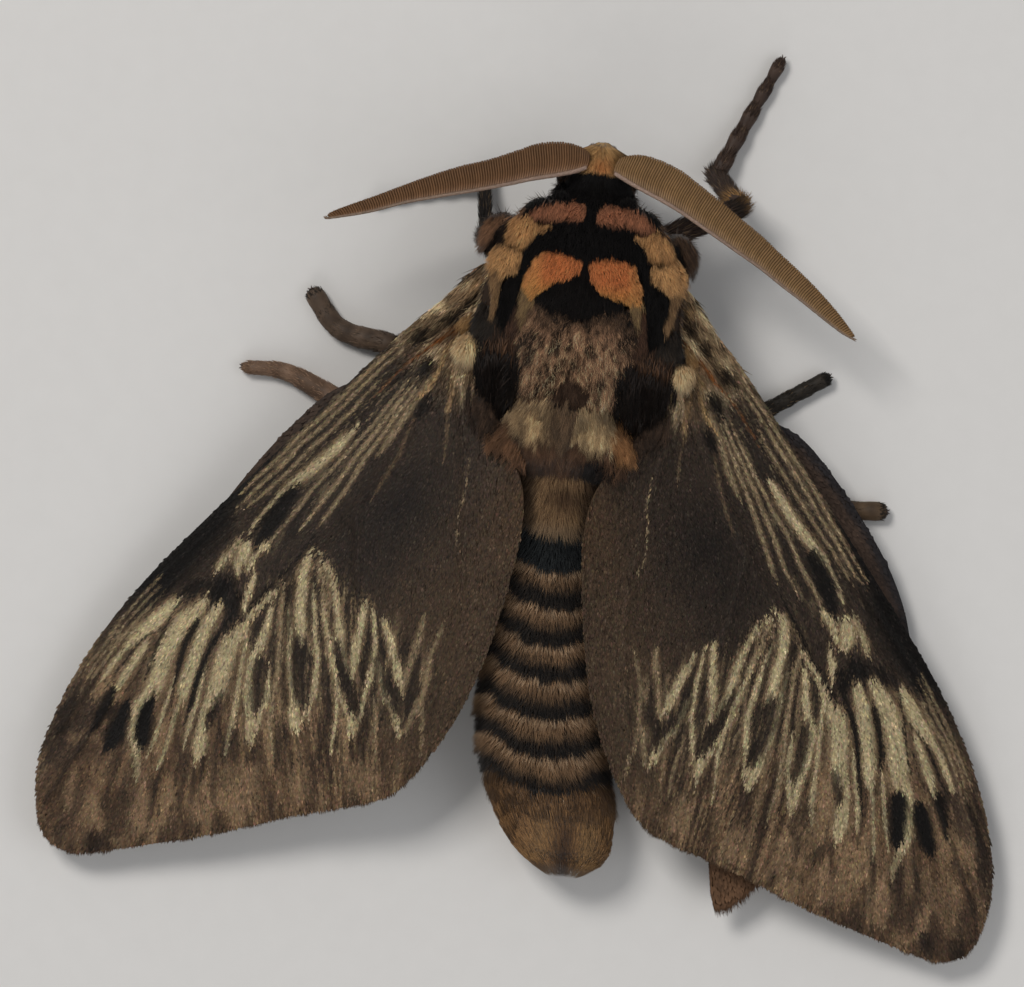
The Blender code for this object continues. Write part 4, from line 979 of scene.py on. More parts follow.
def build_hindwing(side):
    sign = SIDES[side]
    draw = np.random.default_rng(70 + sign)
    turn = math.radians(HINDWING_SWING[side])
    spin = np.array([[math.cos(turn), math.sin(turn)], [-math.sin(turn), math.cos(turn)]])

    def swung(points, count, closed=False):
        return smooth_curve((np.array(points) - HINDWING_PIVOT) @ spin + HINDWING_PIVOT, count, closed)

    def height(out, back):
        return wing_height(out, back) - HINDWING_DROP

    def spread_of(plan):
        return (plan - (2, -1)) / (26.0, 28.0) * (0.9, 0.44) + (0.02, 0.01)

    whole = HINDWING_OUTLINE + HINDWING_REAR[side]
    outline = swung(whole, 200, True)
    lines = [swung(vein, 30) for vein in HINDWING_VEINS]
    membrane(
        f"hindwing_{side}_skin", sign, outline, height, lines, 0.18, hindwing_tones,
        spread_of, f"hindwing_{side}", 0.4, 0.08,
    )
    flow = vein_flow(lines)
    # Scales on both faces, few of them where the forewing hides them.
    plan = scatter(outline, 9000, draw)
    hidden = inside(FOREWING_EDGE, *plan.T) & (to_line(plan, closed_loop(FOREWING_EDGE))[0] > 1.2)
    for face, up, depth in (("upper", 1, 0.0), ("lower", -1, 0.18)):
        way = unit(flow(plan) + draw.normal(0, 0.15, plan.shape))
        length = draw.uniform(0.3, 0.5, len(plan))
        start, along, reach = shingles(plan, way, length, lambda x, y: height(x, y) - depth, sign)
        tones = uneven(hindwing_tones(plan), draw, 0.16)
        chance = draw.random(len(plan))
        s = inside(outline, *reach.T) & (chance < 0.25 if up < 0 else ~hidden | (chance < 0.15))
        scale_piece(
            f"hindwing_{side}_scales_{face}", start[s], along[s],
            surface_normals(height, *plan[s].T, sign) * up, length[s], 0.16, 0.04, tones[s],
            spread_of(plan[s]), "wing", "wing_scales",
        )
    # A fringe along the hind margin.
    edge = swung(whole, 1500, True)
    edge = np.repeat(edge[(edge[:, 1] > 12) | (edge[:, 0] < 6)], 2, axis=0)
    way = unit(flow(edge) + draw.normal(0, 0.14, edge.shape))
    base = edge - way * 0.25
    tips = edge + way * draw.uniform(0.2, 0.45, len(edge))[:, None]
    tones = hindwing_tones(edge) * draw.uniform(0.7, 1.2, len(edge))[:, None]
    hair_piece(
        f"hindwing_{side}_fringe", columns(base * (sign, 1), height(*base.T) - 0.07), None,
        columns(tips * (sign, 1), height(*tips.T) - 0.1), surface_normals(height, *base.T, sign),
        draw.uniform(0.06, 0.1, len(edge)), tones, spread_of(edge), "wing", "wing_scales", 0.5,
        (0.8, 1, 1.1),
    )


# Body


class Loft:
    """Elliptical sections along the body, addressed by distance back and angle from the top."""

    def __init__(self, stations):
        self.fine = smooth_curve(stations, 400)

    def section(self, back):
        """Sideways shift, middle height, half width and half height."""
        shift, width, low, high = between(back, self.fine[:, 0], self.fine[:, 1:]).T
        return shift, (low + high) / 2, width, (high - low) / 2

    def outward(self, back, angle):
        _, _, width, height = self.section(back)
        turn = np.radians(angle)
        return unit(columns(np.sin(turn) / width, np.zeros(len(turn)), np.cos(turn) / height))

    def point(self, back, angle, lift):
        shift, middle, width, height = self.section(back)
        turn = np.radians(angle)
        base = columns(shift + width * np.sin(turn), back, middle + height * np.cos(turn))
        return base + np.asarray(lift)[..., None] * self.outward(back, angle)

    def top(self, x, back):
        """Height of the back at a plan place, and how far out it is as a share of the half width."""
        shift, middle, width, height = self.section(back)
        share = np.abs(x - shift) / width
        return middle + height * np.sqrt(np.clip(1 - share**2, 0, 1)), share


BODY = Loft(BODY_STATIONS)


def body_spread(back, angle, first, last):
    """The body skin's unwrap between two distances back."""
    return 0.01 + 0.98 * columns(((angle + 180) % 360) / 360, (back - first) / (last - first))


def build_body_skin():
    """One skin under the coat from the head to the tip of the tail."""
    backs = np.concatenate([[-9.95], np.linspace(-9.8, 23.0, 180)])
    sides = 64
    angle = np.tile(np.linspace(-180, 180, sides, endpoint=False), len(backs))
    back = np.repeat(backs, sides)
    points = BODY.point(back, angle, -0.4 * ease(-10.3, -9.0, back) * ease(23.6, 21.5, back))
    points[:, 2] = np.maximum(points[:, 2], 0.03)
    u = np.append(-points[:, 0], [0.1, 2.4])
    points = np.vstack([points, points[:sides].mean(0), points[-sides:].mean(0)])
    back = np.append(back, backs[[0, -1]])
    angle = np.append(angle, [0, 0])
    # The skin takes the coat's tones, darkened as painted shade under the hair.
    tones = body_tones(u, back, angle, np.zeros(len(back)))[0] * 0.55
    skin = make_mesh(
        "body_skin", points, ring_faces(len(backs), sides)[:, ::-1], "skin", tones,
        body_spread(back, angle, -10.2, 23.3), True, "thorax_coat",
    )
    nodes = ["thorax", "head", "palp_left", "palp_right", "abdomen_tip"]
    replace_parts(skin, *nodes, *[f"abdomen_{k}" for k in range(1, 9)])


# Patches of the coat over the back, seen from above; a later one lies over an earlier one. Each has its
# outline (sideways to the right of the axis, distance back), two tones, and its hair's length, width,
# height over the core and sideways lean.
PINK, SAND, AMBER = tone(208, 142, 104), tone(232, 182, 124), tone(244, 160, 100)
JET, BARK = tone(12, 11, 11), tone(112, 82, 58)
SMOKE = tone(24, 20, 19)
ZONES = [
    ("disc", [(-2.6, -2.2), (2.6, -2.2), (2.75, 0.4), (2.3, 2.3), (-2.2, 2.3), (-2.75, 0.4)],
     tone(236, 184, 142), tone(50, 35, 26), 0.55, 0.042, 0.32, 0.0),
    ("front", [(-3.2, -8.1), (3.2, -8.1), (4.2, -5.0), (3.6, -4.0), (0.0, -4.0), (-3.6, -4.0),
     (-4.4, -4.6)], JET, SMOKE, 0.7, 0.05, 0.3, 0.0),
    ("collar", [(-2.83, -6.17), (-2.33, -6.58), (-1.5, -6.83), (-0.67, -6.92), (-0.33, -6.75),
     (-0.33, -6.25), (-0.67, -6.05), (-1.5, -6.03), (-2.17, -6.05)], PINK, tone(140, 92, 68),
     0.5, 0.05, 0.46, -0.1),
    ("collar", [(0.17, -6.17), (0.22, -6.63), (0.67, -7.0), (1.5, -6.92), (2.33, -6.63), (2.87, -6.22),
     (2.58, -6.02), (1.83, -6.15), (1.0, -5.98), (0.42, -6.03)], PINK, tone(140, 92, 68),
     0.5, 0.05, 0.46, 0.1),
    ("outer", [(-4.97, -4.92), (-4.53, -5.63), (-3.75, -6.13), (-3.08, -6.3), (-3.17, -6.03),
     (-4.0, -5.53), (-4.37, -4.87), (-4.63, -4.37)], tone(184, 138, 102), tone(104, 76, 58),
     0.6, 0.05, 0.4, -0.3),
    # The right outer patch is darker than the left: painted shadow of the antenna.
    ("outer", [(4.97, -4.92), (4.53, -5.63), (3.75, -6.13), (3.08, -6.3), (3.17, -6.03), (4.0, -5.53),
     (4.37, -4.87), (4.63, -4.37)], tone(120, 92, 70), tone(56, 43, 35), 0.6, 0.05, 0.4, 0.3),
    ("outer_dark", [(-4.42, -4.8), (-4.0, -5.42), (-3.53, -5.7), (-3.63, -5.17), (-3.5, -4.75),
     (-4.0, -4.42), (-4.37, -4.3)], SMOKE, tone(58, 44, 36), 0.6, 0.05, 0.36, -0.3),
    # The right one is darker than the left: painted shadow of the antenna.
    ("outer_dark", [(4.55, -4.6), (4.2, -5.42), (3.53, -5.7), (3.63, -5.17), (3.5, -4.75), (4.0, -4.42),
     (4.37, -4.3)], SMOKE, tone(40, 32, 28), 0.6, 0.05, 0.36, 0.3),
    ("patagium", [(-3.63, -5.25), (-3.5, -5.75), (-3.08, -6.0), (-2.5, -5.92), (-1.67, -5.7),
     (-2.03, -5.42), (-2.5, -5.17), (-2.75, -4.75), (-3.17, -4.63), (-3.53, -4.8)],
     SAND, tone(182, 132, 84), 0.55, 0.05, 0.5, -0.15),
    ("patagium", [(1.83, -5.67), (2.33, -5.92), (3.0, -6.0), (3.5, -5.75), (3.87, -5.17), (3.83, -4.77),
     (3.33, -4.8), (2.83, -4.9), (2.58, -5.25), (2.03, -5.47)], SAND, tone(182, 132, 84),
     0.55, 0.05, 0.5, 0.15),
    ("stripe", [(-2.8, -4.17), (-2.33, -4.33), (-2.53, -3.17), (-2.67, -1.67), (-2.73, -0.33),
     (-3.23, -0.17), (-3.68, -0.33), (-3.73, -1.67), (-3.63, -2.67), (-3.35, -3.3)],
     JET, SMOKE, 0.85, 0.05, 0.5, 0.0),
    ("stripe", [(2.42, -4.33), (2.83, -4.25), (3.17, -3.67), (3.75, -3.3), (3.93, -2.33), (3.9, -1.0),
     (3.5, -0.58), (3.08, -1.0), (2.83, -2.33), (2.58, -3.33)], JET, SMOKE, 0.85, 0.05, 0.5, 0.0),
    ("shoulder", [(-4.33, -3.83), (-4.17, -4.33), (-3.83, -4.57), (-3.17, -4.42), (-2.8, -4.23),
     (-2.92, -3.83), (-3.3, -3.37), (-3.75, -3.17), (-4.17, -3.42)], SAND, tone(196, 152, 104),
     0.6, 0.05, 0.55, -0.12),
    ("shoulder", [(2.83, -4.3), (3.5, -4.57), (4.17, -4.67), (4.5, -4.33), (4.62, -3.83), (4.42, -3.4),
     (4.0, -3.3), (3.5, -3.5), (3.08, -3.83)], SAND, tone(196, 152, 104), 0.6, 0.05, 0.55, 0.12),
    ("strip", [(-4.16, -3.3), (-3.82, -3.3), (-3.74, -2.33), (-3.8, -1.38), (-3.98, -1.5), (-4.02, -2.5)],
     tone(200, 160, 112), BARK, 0.85, 0.05, 0.5, -0.05),
    ("strip", [(3.9, -3.35), (4.26, -3.25), (4.14, -2.33), (3.94, -1.57), (3.78, -1.82), (3.9, -2.67)],
     tone(200, 160, 112), BARK, 0.85, 0.05, 0.5, 0.05),
    ("seam", [(-3.08, -1.67), (-2.7, -2.0), (-2.7, 0.33), (-2.92, 0.67), (-3.33, 0.17), (-3.25, -1.0)],
     tone(118, 82, 60), tone(64, 46, 36), 0.9, 0.05, 0.5, 0.0),
    ("seam", [(2.58, -2.33), (2.97, -1.67), (3.17, -0.33), (3.0, 0.33), (2.58, -0.17), (2.5, -1.33)],
     tone(118, 82, 60), tone(64, 46, 36), 0.9, 0.05, 0.5, 0.0),
    ("orange", [(-2.25, -4.25), (-1.83, -4.5), (-1.25, -4.58), (-0.75, -4.47), (-0.25, -4.4),
     (-0.17, -4.25), (-0.3, -3.8), (-0.75, -3.42), (-1.33, -3.17), (-1.92, -2.67), (-2.13, -2.42),
     (-2.42, -2.47), (-2.63, -2.83), (-2.63, -3.42), (-2.42, -3.92)], AMBER, tone(206, 120, 68),
     0.42, 0.05, 0.46, 0.0),
    ("orange", [(0.1, -4.25), (0.5, -4.47), (1.17, -4.58), (1.75, -4.5), (2.12, -4.33), (2.2, -4.0),
     (2.5, -3.42), (2.58, -2.83), (2.45, -2.37), (2.0, -2.67), (1.33, -2.83), (0.67, -3.08), (0.33, -3.5),
     (0.13, -3.92)], AMBER, tone(206, 120, 68), 0.42, 0.05, 0.46, 0.0),
    ("rim", [(-2.63, -2.83), (-2.42, -2.47), (-2.13, -2.42), (-2.13, -2.0), (-2.37, -1.42), (-2.57, -1.0),
     (-2.72, -1.83)], tone(196, 164, 112), tone(140, 112, 84), 0.7, 0.05, 0.44, 0.0),
    ("rim", [(2.17, -2.58), (2.58, -2.67), (2.64, -2.0), (2.5, -1.5), (2.3, -1.92)], tone(196, 164, 112),
     tone(140, 112, 84), 0.7, 0.05, 0.44, 0.0),
    ("wedge", [(-0.1, -4.37), (0.03, -4.0), (0.2, -3.5), (0.58, -3.0), (1.33, -2.75), (1.83, -2.53),
     (1.5, -2.25), (0.83, -2.15), (0.5, -1.82), (0.0, -1.57), (-0.67, -1.77), (-1.5, -2.0), (-1.92, -2.25),
     (-1.75, -2.67), (-1.25, -3.03), (-0.67, -3.33), (-0.25, -3.75)], JET, tone(34, 28, 26),
     0.95, 0.05, 0.38, 0.0),
    ("glint", [(-4.75, -1.17), (-3.75, -1.33), (-3.33, -1.0), (-3.42, -0.33), (-4.0, -0.25),
     (-4.58, -0.47)], tone(22, 20, 20), tone(74, 62, 50), 0.7, 0.045, 0.45, -0.1),
    ("glint", [(3.42, -0.83), (3.92, -1.17), (4.83, -1.0), (5.0, -0.33), (4.33, -0.17), (3.58, -0.25)],
     tone(22, 20, 20), tone(74, 62, 50), 0.7, 0.045, 0.45, 0.1),
    ("notch", [(-0.13, 0.67), (-0.67, 1.42), (-1.0, 2.08), (-0.17, 2.2), (0.83, 2.13), (0.92, 1.7),
     (0.37, 1.03)], tone(104, 79, 62), tone(54, 42, 34), 0.65, 0.05, 0.32, 0.0),
    ("line", [(-1.92, 2.1), (-1.0, 1.93), (0.17, 2.08), (1.33, 2.2), (1.92, 2.03), (1.83, 2.37),
     (1.33, 2.53), (0.17, 2.38), (-1.0, 2.3), (-1.75, 2.43)], tone(26, 22, 20), tone(60, 50, 44),
     0.5, 0.045, 0.26, 0.0),
    ("brown", [(-3.3, 3.75), (-2.42, 3.17), (-1.92, 3.72), (-1.5, 4.42), (-2.33, 4.77), (-3.17, 4.57)],
     tone(146, 106, 76), BARK, 1.0, 0.05, 0.6, -0.25),
    ("brown", [(-1.67, 4.1), (-0.67, 3.72), (0.83, 3.8), (2.17, 3.88), (2.77, 4.58), (2.2, 5.3),
     (-2.0, 5.3)], tone(132, 96, 70), tone(92, 68, 50), 0.9, 0.05, 0.55, 0.0),
    ("tuft", [(-2.52, 2.58), (-1.5, 2.3), (-0.5, 2.35), (0.25, 2.48), (0.37, 3.37), (0.17, 4.18),
     (-0.42, 4.18), (-0.8, 3.93), (-1.5, 4.23), (-2.08, 3.95), (-2.57, 3.3)], tone(166, 134, 100),
     tone(78, 60, 46), 0.9, 0.045, 0.62, -0.1),
    ("tuft", [(-2.42, 2.48), (-1.5, 2.27), (-0.83, 2.43), (-0.6, 3.0), (-0.9, 3.63), (-1.5, 4.03),
     (-2.08, 3.65), (-2.47, 3.2)], tone(236, 202, 154), tone(160, 128, 92), 0.9, 0.045, 0.72, -0.15),
    ("tuft", [(0.4, 2.7), (1.0, 2.32), (1.7, 2.48), (2.03, 3.17), (1.87, 3.83), (1.33, 4.05), (0.8, 3.87),
     (0.48, 3.37)], tone(244, 212, 164), tone(178, 146, 106), 0.9, 0.045, 0.72, 0.1),
    ("ochre", [(1.97, 3.5), (2.5, 3.2), (3.03, 3.73), (3.2, 4.3), (2.83, 4.57), (2.25, 4.2)],
     tone(196, 146, 96), tone(160, 112, 72), 0.9, 0.05, 0.62, 0.35),
    ("mark", [(0.77, 4.58), (1.5, 4.3), (2.2, 4.5), (2.3, 5.03), (1.83, 5.47), (1.17, 5.47), (0.8, 5.1)],
     tone(44, 31, 25), tone(28, 21, 18), 0.8, 0.05, 0.6, 0.15),
    ("bead", [(-5.42, 0.33), (-5.25, -0.17), (-4.83, -0.38), (-4.17, -0.25), (-3.92, 0.08), (-4.17, 0.5),
     (-4.42, 0.87), (-4.83, 0.93), (-5.25, 0.75)], tone(252, 224, 180), tone(230, 188, 138),
     0.5, 0.045, 0.42, -0.1),
    ("bead", [(4.17, 0.33), (4.33, -0.08), (4.83, -0.25), (5.33, -0.08), (5.43, 0.33), (5.2, 0.7),
     (4.83, 0.9), (4.42, 0.7)], tone(252, 224, 180), tone(230, 188, 138), 0.5, 0.045, 0.42, 0.1),
    ("bead", [(-5.47, -0.92), (-4.83, -1.28), (-4.72, -0.95), (-5.03, -0.57), (-5.35, -0.63)],
     tone(210, 172, 118), tone(170, 128, 84), 0.5, 0.045, 0.5, -0.1),
    ("bead", [(4.83, -1.03), (5.17, -0.9), (5.53, -0.33), (5.17, -0.25), (4.92, -0.58)],
     tone(210, 172, 118), tone(170, 128, 84), 0.5, 0.045, 0.5, 0.1),
    ("brown", [(-4.5, 2.0), (-3.6, 1.9), (-2.9, 2.5), (-2.8, 3.4), (-3.2, 4.0), (-4.0, 3.6), (-4.5, 2.9)],
     tone(104, 80, 62), tone(60, 47, 38), 0.8, 0.05, 0.4, -0.1),
    ("brown", [(4.5, 2.0), (3.6, 1.9), (2.9, 2.5), (2.9, 3.3), (3.2, 4.0), (4.0, 3.6), (4.5, 2.9)],
     tone(104, 80, 62), tone(60, 47, 38), 0.8, 0.05, 0.4, 0.1),
    ("brush", [(-4.0, 0.13), (-3.33, -0.17), (-2.75, 0.0), (-2.45, 0.58), (-2.33, 1.67), (-2.47, 2.3),
     (-2.72, 2.75), (-2.98, 2.85), (-3.2, 2.68), (-3.62, 2.1), (-4.08, 1.5), (-4.3, 0.9)],
     tone(16, 13, 12), tone(40, 31, 26), 1.8, 0.05, 0.55, 0.02),
    ("brush", [(1.97, 1.42), (2.3, 0.67), (2.92, 0.13), (3.83, 0.27), (4.45, 0.67), (4.6, 1.3),
     (4.15, 2.0), (3.5, 2.5), (3.15, 2.95), (2.9, 2.98), (2.5, 2.6), (2.07, 2.0)], tone(16, 13, 12),
     tone(40, 31, 26), 1.8, 0.05, 0.55, -0.02),
    ("brush_top", [(-3.75, -0.17), (-3.33, -0.5), (-2.8, -0.33), (-2.53, 0.33), (-2.92, 0.67), (-3.5, 0.5),
     (-3.92, 0.33)], tone(92, 66, 47), tone(30, 23, 20), 1.5, 0.05, 0.5, 0.0),
    ("brush_top", [(2.5, 0.33), (2.83, -0.33), (3.5, -0.33), (4.17, 0.0), (4.33, 0.5), (3.67, 0.67),
     (3.0, 0.67)], tone(92, 66, 47), tone(30, 23, 20), 1.5, 0.05, 0.5, 0.0),
]
ZONE_NAMES = [zone[0] for zone in ZONES]
ZONE_OUTLINES = [smooth_curve(zone[1], 40, closed=True) for zone in ZONES]
ZONE_TONES = np.array([zone[2:4] for zone in ZONES])
ZONE_SIZES = np.array([zone[4:8] for zone in ZONES])
# How far the patches' edges are ruffled, where it isn't the usual 0.1.
SOFTNESS = {
    "tuft": 0.32, "brown": 0.32, "disc": 0.22, "wedge": 0.2, "bead": 0.14, "mark": 0.3, "rim": 0.22,
    "brush": 0.3, "glint": 0.25, "strip": 0.14, "seam": 0.2, "outer": 0.18, "notch": 0.3, "ochre": 0.2,
    "brush_top": 0.25,
}
BLUE_BAND = (8.15, 9.75)


def zone_at(u, back):
    """Number of the patch at each place, or -1."""
    places = columns(u, back)
    found = np.full(len(u), -1)
    grit_u, grit_b = cloud(places, 0.017, 42), cloud(places, 0.017, 43)
    shift_u = 0.5 * (cloud(places * (1, 0.5), 0.14, 40) + grit_u)
    shift_b = 0.9 * (cloud(places * (1, 0.35), 0.1, 41) + grit_b)
    for number, (name, outline) in enumerate(zip(ZONE_NAMES, ZONE_OUTLINES)):
        soft = SOFTNESS.get(name, 0.1)
        found[inside(outline, u + soft * shift_u, back + soft * shift_b)] = number
    return found


def segment_share(back):
    """How far along its abdomen segment each place is, 0 to 1."""
    ends = np.array(SEGMENT_ENDS)
    number = np.clip(np.searchsorted(ends, back) - 1, 0, len(ends) - 2)
    return np.clip((back - ends[number]) / (ends[number + 1] - ends[number]), 0, 1)


def head_tones(u, back, angle, chance):
    """A pale tuft with an orange middle between darker flanks, and a brown face."""
    places = columns(u, back)
    crown = blend(tone(216, 176, 120), tone(176, 134, 86), chance)
    crown = blend(crown, tone(208, 134, 76), 0.75 * bump_at(u, 0.15, 0.55) * bump_at(back, -8.75, 0.45))
    nape = ease(-8.45, -8.1, back + 0.1 * cloud(places, 0.2, 47))
    crown = blend(crown, tone(92, 64, 50), 0.85 * nape)
    face = ease(45, 100, np.abs(angle) + 14 * cloud(places, 0.3, 48))
    return blend(crown, blend(tone(140, 104, 70), tone(70, 52, 40), chance), face)


def banded_tones(back, shifted, chance):
    """Each segment is brown at its root, paler in front, and black towards its rear edge."""
    share = segment_share(shifted)
    brown = blend(tone(176, 140, 104), tone(116, 88, 64), chance)
    brown = blend(brown, tone(150, 118, 86), 0.6 * ease(13, 19, back))
    brown = blend(brown, tone(226, 194, 158), 0.75 * ease(0.26, 0.04, share) * ease(0.3, 0.6, chance))
    black = blend(tone(22, 21, 21), tone(64, 54, 46), chance**2)
    turn_at = np.interp(back, [10, 17], [0.38, 0.5])
    return blend(brown, black, ease(-0.2, 0.16, share - turn_at + 0.16 * (chance - 0.5)))


def waist_tones(u, back, chance):
    light = blend(tone(196, 160, 116), tone(120, 90, 64), chance)
    light = blend(light, tone(150, 130, 106), 0.6 * ease(7.3, 8.0, back))
    light = blend(light, tone(70, 46, 31), 0.85 * bump_at(u, 0.35, 0.75) * bump_at(back, 6.45, 0.55))
    return blend(light, tone(76, 58, 44), 0.8 * ease(0.8, 1.35, np.abs(u - 0.1)))


def tail_tones(u, back, chance):
    gold = blend(tone(138, 103, 65), tone(84, 60, 38), chance)
    pale = np.clip(bump_at(u, 3.3, 0.45) + 0.8 * bump_at(u, 1.2, 0.5), 0, 1)
    gold = blend(gold, tone(150, 121, 80), 0.3 * pale * ease(20.4, 21.4, back))
    gold = blend(gold, tone(56, 38, 25), 0.9 * bump_at(u, 2.3, 0.4) * ease(20.8, 22.0, back))
    return blend(gold, tone(62, 44, 30), 0.35 * ease(20.9, 19.9, back + 0.5 * (chance - 0.5)))


def patch_tones(u, back, chance, zone):
    """Tones of the patches of the back, each with its own grain."""
    places = columns(u, back)
    kind = np.array(ZONE_NAMES)[zone]
    tones = blend(ZONE_TONES[zone, 0], ZONE_TONES[zone, 1], chance)
    orange = kind == "orange"
    tones = blend(tones, tone(240, 178, 98), 0.8 * orange * ease(-3.6, -2.5, back))
    tones = blend(tones, tone(240, 180, 112), 0.6 * orange * ease(1.6, 2.2, np.abs(u - 0.03)))
    tones = blend(tones, tone(96, 64, 48), 0.7 * (kind == "collar") * ease(-6.2, -5.98, back))
    grit = cloud(places * (1, 0.6), 0.5, 44) + 0.8 * cloud(places * (1, 0.6), 0.17, 45)
    grit = np.clip(0.88 + 0.95 * grit, 0.15, 2.3)
    # A few bristles are set much lighter: partly pale bristles, partly painted glints of the glossy
    # bristles.
    grit = np.where(chance < 0.12, np.maximum(1.35, 1.35 * grit), grit)
    grit = grit * (1 - 0.75 * ease(-0.1, -1.9, back))
    wool = np.clip(0.9 + 0.45 * cloud(places * (1, 0.45), 0.34, 46), 0.35, 1.5)
    woolly = np.isin(kind, ["tuft", "brown", "ochre"])
    return tones * np.where(kind == "disc", grit, np.where(woolly, wool, 1.0))[:, None]


def body_tones(u, back, angle, chance):
    """Tone, sizes and patch of the hair at a visible place of the body.

    The sizes are length, width, height over the core and sideways lean. The patch is -1 off the back.
    """
    tones = blend(tone(112, 86, 66), tone(52, 41, 35), chance)
    sizes = np.full((len(u), 4), (1.0, 0.06, 0.45, 0.0))

    def lay(where, own, *size):
        tones[where] = own[where]
        sizes[where] = size

    lay(back < -7.9, head_tones(u, back, angle, chance), 0.5, 0.045, 0.32, 0.0)
    # The abdomen's bands sway a little and bow forwards at the flanks.
    places = columns(u, back)
    bow = 0.08 - np.minimum(0.62 * (np.abs(angle) / 45) ** 2, 0.95)
    sway = 0.15 * cloud(places * (1, 0.4), 0.42, 14) + 0.09 * cloud(places * (1, 0.3), 0.12, 15) + bow
    shifted = back - sway * ease(5.6, 7.0, back)
    lay(back > 5.0, banded_tones(back, shifted, chance), 0.7, 0.055, 0.5, 0.0)
    blue = (shifted > BLUE_BAND[0]) & (shifted <= BLUE_BAND[1])
    tones[blue] = blend(tone(20, 25, 29), tone(66, 70, 70), chance**2)[blue]
    waist = (back > 5.0) & (shifted <= BLUE_BAND[0] + 0.25 * (chance - 0.5))
    lay(waist, waist_tones(u, back, chance), 1.0, 0.055, 0.6, 0.0)
    lay(shifted > 20.0 + 0.3 * (chance - 0.5), tail_tones(u, back, chance), 1.5, 0.05, 0.62, 0.0)
    zone = zone_at(u, back)
    zone[(np.abs(angle) >= 100) | (back >= 5.4)] = -1
    found = zone >= 0
    tones[found] = patch_tones(u[found], back[found], chance[found], zone[found])
    sizes[found] = ZONE_SIZES[zone[found]]
    return tones, sizes, zone


# Cushions of hair at the shoulders, the same on both sides: middle (out, back, height) and half sizes.
CUSHIONS = [
    ((3.45, -1.7, 6.2), (1.2, 3.3, 1.05)),
    ((3.3, 0.95, 6.1), (0.85, 1.5, 0.8)),
    ((2.95, -5.25, 5.8), (1.05, 1.1, 1.0)),
    ((4.0, -5.15, 4.7), (1.0, 1.15, 1.0)),
    ((1.9, -6.3, 5.9), (1.3, 0.95, 0.95)),
    ((1.1, -7.3, 5.0), (0.85, 0.8, 0.8)),
    ((1.2, 3.4, 6.6), (1.3, 1.4, 0.75)),
    ((2.5, 3.9, 5.8), (1.0, 1.1, 1.0)),
    ((4.85, 0.35, 5.9), (0.62, 0.68, 0.85)),
    ((3.5, 2.85, 5.7), (0.95, 1.05, 0.75)),
]
FRONT_CUSHIONS = CUSHIONS[:1] + CUSHIONS[2:6]
# Cheeks that hold the eyes, under the antennae.
CHEEKS = [((1.15, -8.5, 4.5), (0.95, 0.8, 1.0))]


def ground(x, back):
    """Height of what the coat of the back stands on: the core, the cushions, or the forewing's root."""
    core, share = BODY.top(x, back)
    out = np.abs(x)
    wing = np.where(inside(FOREWING_EDGE, out, back), wing_height(out, back), -1.0)
    top = np.maximum(np.where(share < 1, core, -1.0), wing)
    for (mid_x, mid_b, mid_z), (wide, long, high) in CUSHIONS:
        part = 1 - ((out - mid_x) / wide) ** 2 - ((back - mid_b) / long) ** 2
        top = np.maximum(top, np.where(part > 0, mid_z + high * np.sqrt(np.clip(part, 0, 1)), -1.0))
    return top


def ellipsoid(centre, size, rings, sides):
    turn = np.tile(np.linspace(0, 2 * math.pi, sides, endpoint=False), rings - 1)
    slide = np.repeat(np.linspace(0, math.pi, rings + 1)[1:-1], sides)
    ball = columns(np.sin(slide) * np.cos(turn), -np.cos(slide), np.sin(slide) * np.sin(turn))
    points = np.vstack([ball, (0, -1, 0), (0, 1, 0)]) * size + centre
    return points, ring_faces(rings - 1, sides)


def tube(path, radii, sides):
    tangent = unit(np.gradient(path, axis=0))
    side = unit(np.cross(tangent, (0, 0, 1)))
    turn = 2 * math.pi * (np.arange(sides) + 0.5) / sides
    ring = np.cos(turn)[:, None] * side[:, None] + np.sin(turn)[:, None] * np.cross(side, tangent)[:, None]
    points = (path[:, None] + radii[:, None, None] * ring).reshape(-1, 3)
    return np.vstack([points, path[0], path[-1]]), ring_faces(len(path), sides)


def tube_spread(rows, sides):
    u, v = np.meshgrid(np.linspace(0, 1, sides), np.linspace(0, 1, rows))
    return 0.02 + 0.96 * np.vstack([columns(u.ravel(), v.ravel()), (0.5, -0.01), (0.5, 1.01)])


def joined(solids):
    """Points and faces of several solids as one."""
    starts = np.cumsum([0] + [len(points) for points, _ in solids])
    return np.vstack([s[0] for s in solids]), np.vstack([s[1] + k for s, k in zip(solids, starts)])


def build_cushions():
    """Skins under the hair of the shoulders, which stand proud of the back."""
    for side, sign in SIDES.items():
        points, faces = joined([
            ellipsoid(np.array(centre) * (sign, 1, 1), np.array(size) - (0.12, 0.2, 0.25), 16, 24)
            for centre, size in CUSHIONS + CHEEKS
        ])
        count = len(points)
        # The skin takes the coat's tones, darkened as painted shade under the hair.
        tones = body_tones(-points[:, 0], points[:, 1], np.zeros(count), np.full(count, 0.7))[0] * 0.4
        spread = columns(0.05 + 0.09 * np.abs(points[:, 0]), 0.1 + 0.06 * (points[:, 1] + 7))
        skin = make_mesh(
            f"tegula_{side}_skin", points, faces, "skin", tones.clip(0, 1), spread, True, "thorax_coat",
        )
        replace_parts(skin, f"tegula_{side}")


